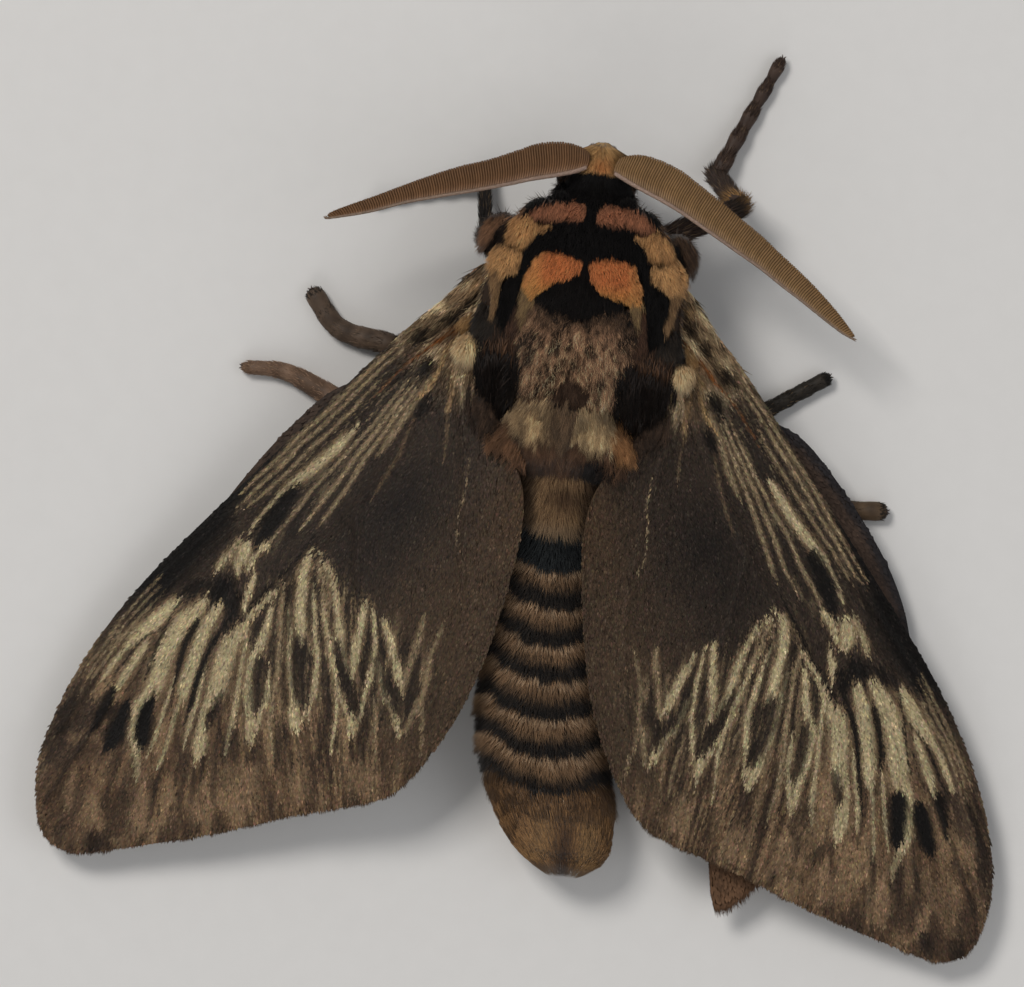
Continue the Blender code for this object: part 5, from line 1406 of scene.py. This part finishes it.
def build_side_coat():
    """Hair on the cheeks and under the front cushions, where the coat of the back doesn't reach."""
    for side, sign in SIDES.items():
        draw = np.random.default_rng(300 + sign)
        eye = np.array(HEAD_CENTRE) + np.array(EYE_OFFSET) * (sign, 1, 1)
        hairs = []
        for centre, size in FRONT_CUSHIONS + CHEEKS:
            ball = unit(draw.normal(0, 1, (1500, 3)))
            ball = ball[(ball[:, 2] < 0.3) | (centre[1] < -8)]
            out = unit(ball / size)
            lie = np.array([0.0, 1.0, -0.5])
            way = unit(lie - (out @ lie)[:, None] * out + draw.normal(0, 0.12, ball.shape))
            root = np.array(centre) * (sign, 1, 1) + ball * (np.array(size) - (0.15, 0.2, 0.25))
            hairs.append((root, way, out, 0.5 + 0.45 * ball[:, 1:]))
        root, way, out, place = (np.vstack(parts) for parts in zip(*hairs))
        clear = np.linalg.norm(root - eye, axis=1) > EYE_RADIUS + 0.02
        root, way, out, place = (v[clear] for v in (root, way, out, place))
        tip = root + way * draw.uniform(0.35, 0.65, len(root))[:, None] + 0.24 * out
        tones = blend(tone(104, 78, 58), tone(46, 36, 30), draw.random(len(root)))
        hair_piece(f"side_{side}_coat", root, None, tip, out, 0.06, tones, place, "hair", "thorax_coat")


def clumps(u, back, broad, fine, seed):
    """Noise that makes neighbouring hairs stand or lie together."""
    return cloud(columns(u, 0.35 * back), broad, seed) + 0.6 * cloud(columns(u, 0.4 * back), fine, seed + 2)


def lay_back_coat(draw, name, tries, span, names, turn, bent, material, slot, clump_shade):
    """Coat over the back in the patches' own tones and sizes, on the core or on the forewing's root.

    span is the plan area that random places are drawn from, and names are the patches kept.
    """
    u = draw.uniform(*span[:2], tries)
    back = draw.uniform(*span[2:], tries)
    tones, sizes, zone = body_tones(u, back, np.zeros(tries), draw.random(tries))
    good = np.isin(zone, [k for k, own in enumerate(ZONE_NAMES) if own in names])
    place, tones, zone = columns(u, back)[good], tones[good], zone[good]
    length, width, lift, lean = sizes[good].T
    length = length * draw.uniform(0.75, 1.25, len(place))
    way = unit(columns(lean + draw.normal(0, 1, len(place)) * turn, np.ones(len(place))))
    root, tip = place - way * 0.72 * length[:, None], place + way * 0.28 * length[:, None]
    low, mid, far = (ground(-spot[:, 0], spot[:, 1]) for spot in (root, place, tip))
    fine = (low > 2.5) & (mid > 2.5)
    place, tones, zone, length, width, lift, root, tip, low, mid, far = (
        v[fine] for v in (place, tones, zone, length, width, lift, root, tip, low, mid, far)
    )
    count = len(place)
    far = np.maximum(far, mid - 0.75 * length)
    normal = surface_normals(ground, -place[:, 0], place[:, 1], 1, 0.15, 1.6)
    clump = clumps(*place.T, 0.2, 0.09, 50)
    rise = lift * draw.uniform(0.75, 1.12, count) * (1 + 0.16 * clump)
    # Each patch is a low dome: its hair is shorter at its edge, and darker there as painted shade where the
    # patches meet.
    dome = np.full(count, 2.0)
    for number in np.unique(zone):
        dome[zone == number] = to_line(place[zone == number], closed_loop(ZONE_OUTLINES[number]))[0]
    rise = (rise * (0.72 + 0.34 * ease(0, 0.5, dome)))[:, None]
    high = columns(-tip[:, 0], tip[:, 1], far) + rise * normal
    middle = None
    if bent:
        half = 0.5 * (root + tip)
        middle = columns(-half[:, 0], half[:, 1], np.maximum(mid, 0.5 * (low + far))) + 0.85 * rise * normal
    # Random tone per hair, times painted shade between clumps: hairs of clumps that lie lower are darker.
    shade = (1 + 0.17 * draw.normal(0, 1, count)).clip(0.55, 1.6) * (1 + clump_shade * clump).clip(0.35, 1.6)
    shade = shade * (0.8 + 0.25 * ease(0, 0.35, dome))
    angle = np.degrees(np.arctan2(-root[:, 0], np.maximum(low - 4.8, 0.3)))
    width = width * draw.uniform(0.8, 1.2, count) * (1.0 if bent else 1.25)
    hair_piece(
        name, columns(-root[:, 0], root[:, 1], low - 0.15), middle, high, normal, width,
        tones * shade[:, None], body_spread(root[:, 1], angle, -9.0, 6.5), material, slot,
    )


def round_tail(points):
    """Draws the tail's hair in to a blunt, rounded end."""
    x, y, z = points.T
    y = np.minimum(y, 23.2 + 0.45 * (1 - np.exp(-np.maximum(y - 23.2, 0) / 0.5)))
    shift, middle, width, height = BODY.section(np.minimum(y, 23.0))
    shift = shift - 0.06 * np.maximum(y - 23.0, 0)
    share = np.clip(1 - ((y - 20.6) / 3.12) ** 2, 0.0, 1) ** 0.6
    allowed = np.where(y > 20.6, 2.85 * share, 99.0)
    away = np.hypot(x - shift, (z - middle) * width / height)
    squeeze = np.minimum(1.0, allowed / np.maximum(away, 1e-6))
    return columns(shift + (x - shift) * squeeze, y, middle + (z - middle) * squeeze)


def lay_loft_coat(name, first, last, least, count, seed, material, slot, under_wing=True, bent=False):
    """Coat laid on the loft itself: flanks and underside of the thorax, and the abdomen all round.

    least is how far from the top it starts, in degrees.
    """
    draw = np.random.default_rng(seed)
    b = draw.uniform(first, last, 3 * count)
    angle = draw.uniform(least, 180, len(b)) * np.where(draw.random(len(b)) < 0.5, -1, 1)
    chance = draw.random(len(b))
    # Fewer hairs underneath, where nothing is seen of them from above.
    girth = BODY.section(b)[2]
    share = girth / girth.max() * (0.35 + 0.65 * ease(130, 90, np.abs(angle)))
    good = np.where(draw.random(len(b)) < share)[0][:count]
    b, angle, chance = b[good], angle[good], chance[good]
    count = len(b)
    x = BODY.point(b, angle, 0.3)[:, 0]
    length = body_tones(-x, b, angle, chance)[1][:, 0]
    tones, sizes, _ = body_tones(-x, b + 0.26 * length, angle, chance)
    length, width, lift, _ = sizes.T
    length = length * draw.uniform(0.8, 1.2, count)
    banded = (b > BLUE_BAND[0] - 0.05) & (b < 20.0)
    lift = np.where(banded, lift * (0.72 + 0.4 * segment_share(b)), lift) * draw.uniform(0.8, 1.12, count)
    clump = clumps(x, b, 0.24, 0.1, 51)
    lift = lift * (1 + 0.12 * clump) * (1 + 0.45 * ease(20.5, 23.0, b))
    root_b, tip_b = b - 0.5 * length, b + 0.5 * length
    drift = draw.normal(0, 3.2, count)
    is_tail = last > 22
    if is_tail:
        lift = lift * np.interp(b, [19.5, 21.2], [0.6, 1.0])
    root = BODY.point(np.clip(root_b, -9.9, 22.6), angle, -0.25)
    root[:, 1] = np.minimum(root_b, 22.6)
    tip = BODY.point(np.minimum(tip_b, 23.0), angle + drift, lift)
    middle = BODY.point(np.minimum(b, 22.9), angle + 0.5 * drift, 0.85 * lift) if bent else None
    if is_tail:
        tip[:, 1] = tip_b + 0.5 * ease(21.8, 23.0, b)
        tip, middle = round_tail(tip), round_tail(middle)
    for point in (root, tip) if middle is None else (root, middle, tip):
        point[:, 2] = np.maximum(point[:, 2], 0.03 + 0.05 * chance)
        if under_wing:
            out, back = np.abs(point[:, 0]), point[:, 1]
            ceiling = np.where(inside(FOREWING_EDGE, out, back), wing_height(out, back) - 0.3, 99.0)
            point[:, 2] = np.minimum(point[:, 2], ceiling)
    # Random tone per hair, times painted shade between clumps: hairs of clumps that lie lower are darker.
    shade = (1 + 0.17 * draw.normal(0, 1, count)).clip(0.55, 1.6) * (1 + 0.15 * clump)
    width = width * draw.uniform(0.8, 1.2, count) * (1.0 if bent else 1.25)
    hair_piece(
        name, root, middle, tip, BODY.outward(b, angle), width, tones * shade[:, None],
        body_spread(root_b, angle, first - 1, last + 1), material, slot,
    )


def build_coat():
    draw = np.random.default_rng(101)
    whole = (-5.7, 5.7, -8.1, 5.4)
    pale = [
        "collar", "outer", "patagium", "shoulder", "strip", "seam", "orange", "rim", "glint", "ochre",
        "bead",
    ]
    dark = ["front", "outer_dark", "stripe", "wedge"]
    brushes, tufts, disc = ["brush", "brush_top"], ["tuft", "brown", "mark"], ["disc", "notch", "line"]
    # Name, places tried, plan area, patches, spread of the lie, bent, material, slot and painted shade
    # between clumps.
    for coat in (
        ("coat_back", 170000, whole, pale, 0.12, False, "hair", "thorax_coat", 0.16),
        ("coat_black", 110000, whole, dark, 0.12, False, "black", "black_coat", 0.16),
        ("coat_brushes", 30000, (-4.6, 5.0, -0.7, 4.2), brushes, 0.2, True, "black", "black_coat", 0.16),
        ("coat_tufts", 46000, (-4.6, 4.6, 1.9, 5.5), tufts, 0.34, False, "hair", "thorax_coat", 0.3),
        ("coat_disc", 32000, (-2.9, 2.9, -2.3, 2.6), disc, 0.38, False, "bristle", "thorax_coat", 0.3),
    ):
        lay_back_coat(draw, *coat)
    lay_loft_coat("coat_flanks", -7.6, 5.0, 62, 10500, 104, "hair", "thorax_coat")
    lay_loft_coat("coat_head", -9.7, -7.9, 0, 9000, 105, "hair", "head_tuft", False)
    lay_loft_coat("coat_abdomen_front", 4.9, 12.2, 0, 24500, 106, "hair", "abdomen_coat")
    lay_loft_coat("coat_abdomen_rear", 12.2, 20.1, 0, 26500, 107, "hair", "abdomen_coat")
    lay_loft_coat("coat_tail", 19.6, 23.0, 0, 9300, 108, "hair", "tail_tuft", False, True)


# Head and antennae


def build_eyes():
    for side, sign in SIDES.items():
        centre = np.array(HEAD_CENTRE) + np.array(EYE_OFFSET) * (sign, 1, 1)
        points, faces = ellipsoid(centre, EYE_RADIUS * np.array([0.8, 1, 1]), 28, 40)
        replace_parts(make_mesh(f"eye_{side}_look", points, faces, "eye", slot="eye_facets"), f"eye_{side}")


def build_palps():
    count = 1600
    for side, sign in SIDES.items():
        draw = np.random.default_rng(130 + sign)
        root, tip = (np.array(HEAD_CENTRE) + np.array(end) * (sign, 1, 1) for end in (PALP_ROOT, PALP_TIP))
        t = 0.86 * draw.random(count)
        turn = draw.uniform(0, 2 * math.pi, count)
        way = unit(tip - root)
        across = unit(np.cross(way, (1, 0, 0)))
        out = around(across, np.cross(way, across), turn)
        base = root + (tip - root) * t[:, None] + (0.1 - 0.05 * t)[:, None] * out
        tones = blend(tone(150, 104, 66), tone(84, 60, 44), draw.random(count))
        spread = 0.05 + 0.9 * columns(turn / (2 * math.pi), t)
        hair_piece(
            f"palp_{side}_coat", base, None, base + 0.3 * way + 0.14 * out, out, 0.06, tones, spread,
            "hair", "head_tuft",
        )


RAMUS_STEPS = np.array([0, 0.14, 0.28, 0.42, 0.56, 0.7, 0.84, 0.94, 1.0])
RAMUS_HAIRS = 10
# Deep and light tones of the rami.
COMB_TONES = {"left": ((108, 77, 50), (138, 101, 70)), "right": ((124, 94, 60), (152, 122, 86))}


def ramus_solid():
    """Faces of one ramus of nine rings of four points, and its patch on the unwrap."""
    corner = np.arange(36).reshape(9, 4)
    following = np.roll(corner, -1, axis=1)
    quads = np.stack([corner[:-1], following[:-1], following[1:], corner[1:]], axis=-1).reshape(-1, 4)
    quads = np.vstack([quads, corner[0, ::-1], corner[-1]])
    patch = np.meshgrid(RAMUS_STEPS, np.linspace(0, 1, 4), indexing="ij")
    return np.vstack([quads[:, [0, 1, 2]], quads[:, [0, 2, 3]]]), np.stack(patch, axis=-1).reshape(-1, 2)


def ramus_row(side, row, shaft, edge, draw):
    """One row of rami as points, tones and places, and the minute hairs on both sides of each ramus."""
    steps, count = RAMUS_STEPS, RAMUS_COUNTS[side]
    at = 0.985 * (np.arange(count) + 0.5 * row) / count
    start = at_share(shaft, at)
    along = unit(at_share(np.gradient(shaft, axis=0), at))[:, None]
    reach = at_share(edge, at + (12 - 8 * at) / 399) - start[:, :2]
    reach = reach * (0.95 if row else 1.0) * draw.uniform(0.992, 1.008, count)[:, None]
    span = np.linalg.norm(reach, axis=1)[:, None]
    rise = math.tan(math.radians(RAMUS_ROWS[row] - ANTENNA_ROLL[side])) * span * 0.8
    line = start[:, None] + steps[:, None] * columns(reach, rise)[:, None]
    line = line - 0.108 * (span * np.sin(math.pi * steps) * (1 - steps))[..., None] * along
    line[..., 2] += 0.16 * span * np.sin(0.9 * math.pi * steps)
    tangent = unit(np.gradient(line, axis=1))
    side_way = unit(along - (along * tangent).sum(-1, keepdims=True) * tangent)
    normal = np.cross(side_way, tangent)
    wide = np.interp(steps, [0, 0.3, 0.94, 1], [0.056, 0.055, 0.054, 0.045])[:, None]
    flank, ridge = wide * side_way, 0.4 * wide * normal
    ring = np.stack([line + flank, line + ridge, line - flank, line - ridge], axis=2)
    deep, light = (tone(*colour) for colour in COMB_TONES[side])
    colour = blend(light, deep, np.interp(steps, [0, 0.35, 1], [0, 0.75, 1.0]))
    colour = blend(colour, tone(176, 150, 132), np.interp(steps, [0, 0.18], [0.7, 0]))
    colour = colour * draw.uniform(0.9, 1.1, count)[:, None, None]
    # Flanks of each ramus darker and its ridge lighter: painted shade and highlight that bring out the
    # striations.
    ring_tones = colour[:, :, None] * np.array([0.86, 1.06, 0.86, 0.95])[:, None]
    place = columns(0.03 + 0.94 * at, np.full(count, 0.1 + 0.5 * row))
    t = np.tile(0.2 + 0.79 * (np.arange(RAMUS_HAIRS) + 0.5) / RAMUS_HAIRS, count)
    own = np.repeat(np.arange(count), RAMUS_HAIRS)
    node = np.clip(np.searchsorted(steps, t) - 1, 0, 7)
    spot = own, node
    part = ((t - steps[node]) / (steps[node + 1] - steps[node]))[:, None]
    root = line[spot] * (1 - part) + line[own, node + 1] * part
    hand = np.where(draw.random(len(t)) < 0.5, -1, 1)[:, None]
    way = unit(hand * side_way[spot] + 0.55 * tangent[spot] + draw.normal(0, 0.12, (len(t), 3)))
    tip = root + way * draw.uniform(0.08, 0.13, len(t))[:, None]
    hair_tones = colour[spot] * draw.uniform(0.8, 1.2, len(t))[:, None]
    rami = ring.reshape(count, 36, 3), ring_tones.reshape(count, 36, 3), place
    return rami, (root, tip, normal[spot], hair_tones, place[own] + columns(0 * t, 0.35 * t))


def build_antenna(side):
    """The pale shaft, two rows of fine, close-set rami, and the minute hairs that fill the gaps."""
    draw = np.random.default_rng(150 + SIDES[side])
    shaft = columns(smooth_curve(SHAFTS[side], 400), smooth_curve(ANTENNA_PATHS[side], 400)[:, 2] + 0.1)
    edge = smooth_curve(BLADE_EDGES[side], 400)
    thick = 0.105 - 0.055 * np.linspace(0, 1, 400)
    rows = np.arange(0, 400, 5)
    points, faces = tube(shaft[rows], thick[rows], 10)
    tones = blend(tone(150, 126, 112), tone(126, 106, 90), rows / 399)
    tones = np.vstack([np.repeat(tones, 10, axis=0), tones[0], tones[-1]])
    stem = make_mesh(
        f"antenna_{side}_shaft", points, faces, "comb", tones, tube_spread(len(rows), 10), True,
        "antenna_comb",
    )
    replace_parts(stem, f"antenna_{side}")
    rami, minute = zip(*[ramus_row(side, row, shaft, edge, draw) for row in range(len(RAMUS_ROWS))])
    points, tones, places = (np.vstack(parts) for parts in zip(*rami))
    faces, patch = ramus_solid()
    many_solids(f"antenna_{side}_comb", points, faces, patch, tones, places, "comb", True, "antenna_comb")
    root, tip, out, tones, places = (np.vstack(parts) for parts in zip(*minute))
    hair_piece(
        f"antenna_{side}_hairs", root, None, tip, out, 0.03, tones, places, "comb", "antenna_comb", 0.5,
        (0.9, 1, 1.0),
    )
    build_shaft_scales(side, shaft, thick, draw)


def build_shaft_scales(side, shaft, thick, draw):
    count = 1800
    t = draw.random(count)
    index = np.minimum((t * 399).astype(int), 398)
    along = unit(shaft[index + 1] - shaft[index])
    across = unit(np.cross(along, (0, 0, 1)))
    spin = draw.uniform(0, 2 * math.pi, count)
    out = around(across, np.cross(across, along), spin)
    tones = blend(tone(166, 142, 128), tone(132, 112, 94), t) * draw.uniform(0.75, 1.15, count)[:, None]
    scale_piece(
        f"antenna_{side}_scales", shaft[index] + thick[index][:, None] * out, along, out,
        draw.uniform(0.12, 0.2, count), 0.05, 0.012, tones, 0.02 + 0.96 * columns(spin / (2 * math.pi), t),
        "comb", "antenna_comb",
    )


# Legs


# Half widths of the foot behind the ankle and before the toe.
LEG_GIRTHS = {
    ("fore", "left"): (0.2, 0.16), ("fore", "right"): (0.36, 0.25), ("mid", "left"): (0.52, 0.46),
    ("mid", "right"): (0.36, 0.34), ("hind", "left"): (0.62, 0.3), ("hind", "right"): (0.46, 0.44),
}
# Light and deep tones of the coat. The left fore leg's are near black as painted shadow, for it lies in the
# antenna's shadow.
LEG_TONES = {
    ("fore", "left"): ((50, 43, 39), (24, 21, 19)), ("fore", "right"): ((94, 74, 62), (46, 34, 30)),
    ("mid", "left"): ((130, 108, 90), (66, 53, 43)), ("mid", "right"): ((64, 56, 46), (30, 26, 22)),
    ("hind", "left"): ((168, 136, 112), (100, 77, 60)), ("hind", "right"): ((136, 110, 84), (78, 62, 48)),
}


def above(points, height):
    """Points lifted to at least this height over the floor."""
    return np.maximum(points, (-99, -99, height))


def leg_line(leg):
    """A leg's middle line, distances along it, where knee and ankle are on it, and the foot's way."""
    (back, angle), *ends = LEGS[leg]
    root = BODY.point(np.array([back]), np.array([SIDES[leg[1]] * angle]), -0.2)[0]
    knee, ankle, toe = (np.array(end, float) for end in ends)
    bow = np.array([*TOE_BOWS.get(leg, (ankle + toe)[:2] / 2), 0.42])
    path = smooth_curve([
        root, 0.5 * (root + knee) + (0, 0, 0.1), knee, knee + 0.25 * (ankle - knee), 0.5 * (knee + ankle),
        knee + 0.8 * (ankle - knee), ankle, ankle + 0.2 * (bow - ankle), bow, toe + (0, 0, 0.2),
    ], 120)
    lengths = lengths_of(path)
    at_knee, at_ankle = (lengths[np.linalg.norm(path - point, axis=1).argmin()] for point in (knee, ankle))
    return path, lengths, at_knee, at_ankle, unit(toe - ankle)


def leg_radius(leg, lengths, at_knee, at_ankle):
    """Half width all along a leg, with the rings of the foot's five joints."""
    total = lengths[-1]
    foot = np.clip((lengths - at_ankle) / (total - at_ankle), 0, 1)
    rings = (0.045 if leg[0] == "fore" else 0.015) * np.cos(10 * math.pi * foot)
    rings = rings * (foot > 0.02) * (foot < 0.98)
    foot_girth, toe_girth = LEG_GIRTHS[leg]
    upper = np.array([0.5, 0.5, 0.42, 0.46, 0.42]) * (0.5 if leg == ("fore", "left") else 1)
    places = [0, 0.5 * at_knee, at_knee, at_knee + 0.3, at_ankle - 0.2, at_ankle + 0.4, total - 0.3, total]
    return np.interp(lengths, places, [*upper, foot_girth, toe_girth, 0.6 * toe_girth]) - rings


def leg_coat_tones(leg, s, total, at_knee, at_ankle, out, draw):
    """Tones of a leg's hairs at distances s along it: joints, pale specks, and marks of its own."""
    pair, side = leg
    light, deep = (tone(*colour) for colour in LEG_TONES[leg])
    tones = blend(light, deep, draw.random(len(s)))
    tones = blend(tones, tone(168, 140, 108), 0.5 * (draw.random(len(s)) < 0.08))
    joint = np.clip((s - at_ankle) / (total - at_ankle), 0, 1) * 5
    dip = 0.3 if pair == "fore" else 0.12
    tones = tones * np.where(s > at_ankle, 1.08 - dip + dip * np.sin(math.pi * (joint % 1)), 1.0)[:, None]
    if leg == ("fore", "right"):
        tones = blend(tones, tone(196, 150, 90), 0.9 * bump_at(s, at_knee + 0.25, 0.45) * (out[:, 2] > -0.2))
        tones = blend(tones, tone(20, 16, 14), 0.8 * bump_at(s, at_knee - 0.5, 0.4))
    if pair == "mid" or leg == ("hind", "right"):
        reach = 2.9 if side == "left" else 1.3
        tones = blend(tones, tone(30, 28, 25), 0.92 * ease(total - reach, total - 0.55 * reach, s))
    if leg == ("mid", "left"):
        tones = blend(tones, tone(46, 37, 31), 0.7 * ease(at_ankle + 1.1, at_ankle + 0.3, s))
    return tones


def build_leg(leg):
    """One leg: a skin from hip to toe, its coat of scales and hair, and its claws."""
    name = "leg_{}_{}".format(*leg)
    draw = np.random.default_rng(200 + 10 * SIDES[leg[1]] + len(leg[0]))
    path, lengths, at_knee, at_ankle, ahead = leg_line(leg)
    radius = leg_radius(leg, lengths, at_knee, at_ankle)
    total = lengths[-1]
    points, faces = tube(path, radius, 14)
    points = above(points, 0.0)
    light, deep = (tone(*colour) for colour in LEG_TONES[leg])
    # The leg's skin takes the coat's tones, darkened as painted shade under the coat.
    base = blend(light, deep, cloud(points, 0.5, 20) * 0.5 + 0.5) * 0.6
    skin = make_mesh(
        f"{name}_skin", points, faces, "leg", base.clip(0, 1), tube_spread(120, 14), True, "leg_scales",
    )
    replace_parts(skin, f"{name}_femur", f"{name}_tibia", f"{name}_tarsus")
    count = 4600
    t = draw.random(count)
    s = t * total
    place = between(s, lengths, path)
    along = unit(between(s + 0.1, lengths, path) - place + 1e-6)
    across = unit(np.cross(along, (0, 0, 1)))
    turn = draw.uniform(0, 2 * math.pi, count)
    out = around(across, np.cross(across, along), turn)
    shag = np.interp(s, [0, at_knee, at_ankle * 0.98, at_ankle + 0.4, total], [0.8, 0.7, 0.7, 0.4, 0.28])
    shag = shag * draw.uniform(0.7, 1.3, count)
    rise = np.interp(s, [0, at_knee, at_ankle, at_ankle + 0.4, total], [0.24, 0.17, 0.16, 0.1, 0.06])
    start = place + (0.85 * np.interp(s, lengths, radius))[:, None] * out
    end = start + along * shag[:, None] + (rise * draw.uniform(0.4, 1.3, count))[:, None] * out
    end = np.where((s + shag > total)[:, None], start + along * np.maximum(total - s, 0.12)[:, None], end)
    tones = leg_coat_tones(leg, s, total, at_knee, at_ankle, out, draw)
    hair_piece(
        f"{name}_coat", above(start, 0.02), None, above(end, 0.02), out, draw.uniform(0.07, 0.11, count),
        tones, 0.02 + 0.96 * columns(turn / (2 * math.pi), t), "leg", "leg_scales", 0.45, (0.6, 1, 1.12),
    )
    build_claws(name, path, path[np.abs(lengths - at_ankle + 0.1).argmin()], ahead, leg[0] != "fore")


def build_claws(name, path, heel, ahead, has_spurs):
    """Two hooked claws at the toe, and the tibia's two spurs, which the fore legs don't have."""
    way = unit((path[-1] - path[-4]) * (1, 1, 0))
    flank = np.cross(way, (0, 0, 1))
    start = path[-1] + (0, 0, 0.02)
    lines = []
    for hand in (-1, 1):
        lines.append([
            start - 0.06 * way, start + 0.09 * way + hand * 0.06 * flank + (0, 0, 0.03),
            start + 0.17 * way + hand * 0.1 * flank + (0, 0, -0.08),
        ])
        if has_spurs:
            lines.append([
                heel + hand * 0.2 * flank, heel + hand * 0.34 * flank + 0.3 * ahead,
                heel + hand * 0.4 * flank + 0.7 * ahead,
            ])
    radii = np.linspace(0.055, 0.012, 8)
    points, faces = joined([tube(above(smooth_curve(line, 8), 0.03), radii, 8) for line in lines])
    tones = np.broadcast_to(tone(58, 34, 22), points.shape)
    make_mesh(f"{name}_claws", above(points, 0.0), faces, "claw", tones, None, True, "leg_scales")


# Stage


FLOOR_REACH = 4.0
ROOM_COLOUR, ROOM_STRENGTH = (0.97, 0.98, 1.0, 1), 0.25
# Name, place, size, power and colour of the lamps.
LAMPS = [
    ("key", (0.22, -0.20, 0.42), 0.16, 1.25, (1.0, 0.965, 0.92)),
    ("fill", (-0.30, 0.05, 0.30), 0.30, 0.3, (0.97, 0.98, 1.0)),
    ("back", (0.05, 0.36, 0.25), 0.25, 0.25, (1.0, 0.98, 0.95)),
]
CAMERA_DISTANCE, CAMERA_FIELD, CAMERA_TURN = 0.4, 0.0468, 7.2
CAMERA_SENSOR = 36.0
CAMERA_AIM = (0.00205, 0.00117, 0.004)


def build_floor():
    mesh = bpy.data.meshes.new("floor")
    corners = [(x * FLOOR_REACH, y * FLOOR_REACH, 0) for x, y in ((-1, -1), (1, -1), (1, 1), (-1, 1))]
    mesh.from_pydata(corners, [], [(0, 1, 2, 3)])
    mesh.materials.append(plain_floor_material())
    floor = bpy.data.objects.new("floor", mesh)
    floor.location.z = -0.00002
    bpy.context.scene.collection.objects.link(floor)


def look_axes(way):
    """Rows of a frame whose -Z looks along way."""
    back = -unit(way)
    right = unit(np.cross((0, 0, 1), back))
    return [tuple(right), tuple(np.cross(back, right)), tuple(back)]


def build_lights():
    world = bpy.data.worlds.new("pale_room")
    world.use_nodes = True
    background = world.node_tree.nodes["Background"]
    wire(world.node_tree, background, {"Color": ROOM_COLOUR, "Strength": ROOM_STRENGTH})
    bpy.context.scene.world = world
    for name, spot, size, power, colour in LAMPS:
        light = bpy.data.lights.new(name, "AREA")
        light.size = size
        light.energy = power
        light.color = colour
        lamp = bpy.data.objects.new(name, light)
        lamp.location = spot
        lamp.rotation_mode = "QUATERNION"
        lamp.rotation_quaternion = Matrix(look_axes(-np.array(spot))).transposed().to_quaternion()
        bpy.context.scene.collection.objects.link(lamp)


def build_camera():
    """A camera right over the moth, turned as the photo is."""
    scene = bpy.context.scene
    camera = bpy.data.cameras.new("camera")
    camera.sensor_width = CAMERA_SENSOR
    camera.lens = CAMERA_SENSOR * CAMERA_DISTANCE / CAMERA_FIELD
    camera.clip_start, camera.clip_end = 0.01, 20.0
    obj = bpy.data.objects.new("camera", camera)
    turn = math.radians(CAMERA_TURN)
    x, y, z = CAMERA_AIM
    obj.matrix_world = Matrix((
        (-math.cos(turn), math.sin(turn), 0.0, x), (-math.sin(turn), -math.cos(turn), 0.0, y),
        (0.0, 0.0, 1.0, z + CAMERA_DISTANCE), (0, 0, 0, 1),
    ))
    scene.collection.objects.link(obj)
    scene.camera = obj
    scene.view_settings.view_transform = "Standard"
    scene.view_settings.look = "None"


build_floor()
build_lights()
build_camera()
build_body_skin()
build_cushions()
build_side_coat()
build_coat()
build_eyes()
build_palps()
for side in SIDES:
    build_forewing(side)
    build_hindwing(side)
    build_antenna(side)
for leg in LEGS:
    build_leg(leg)
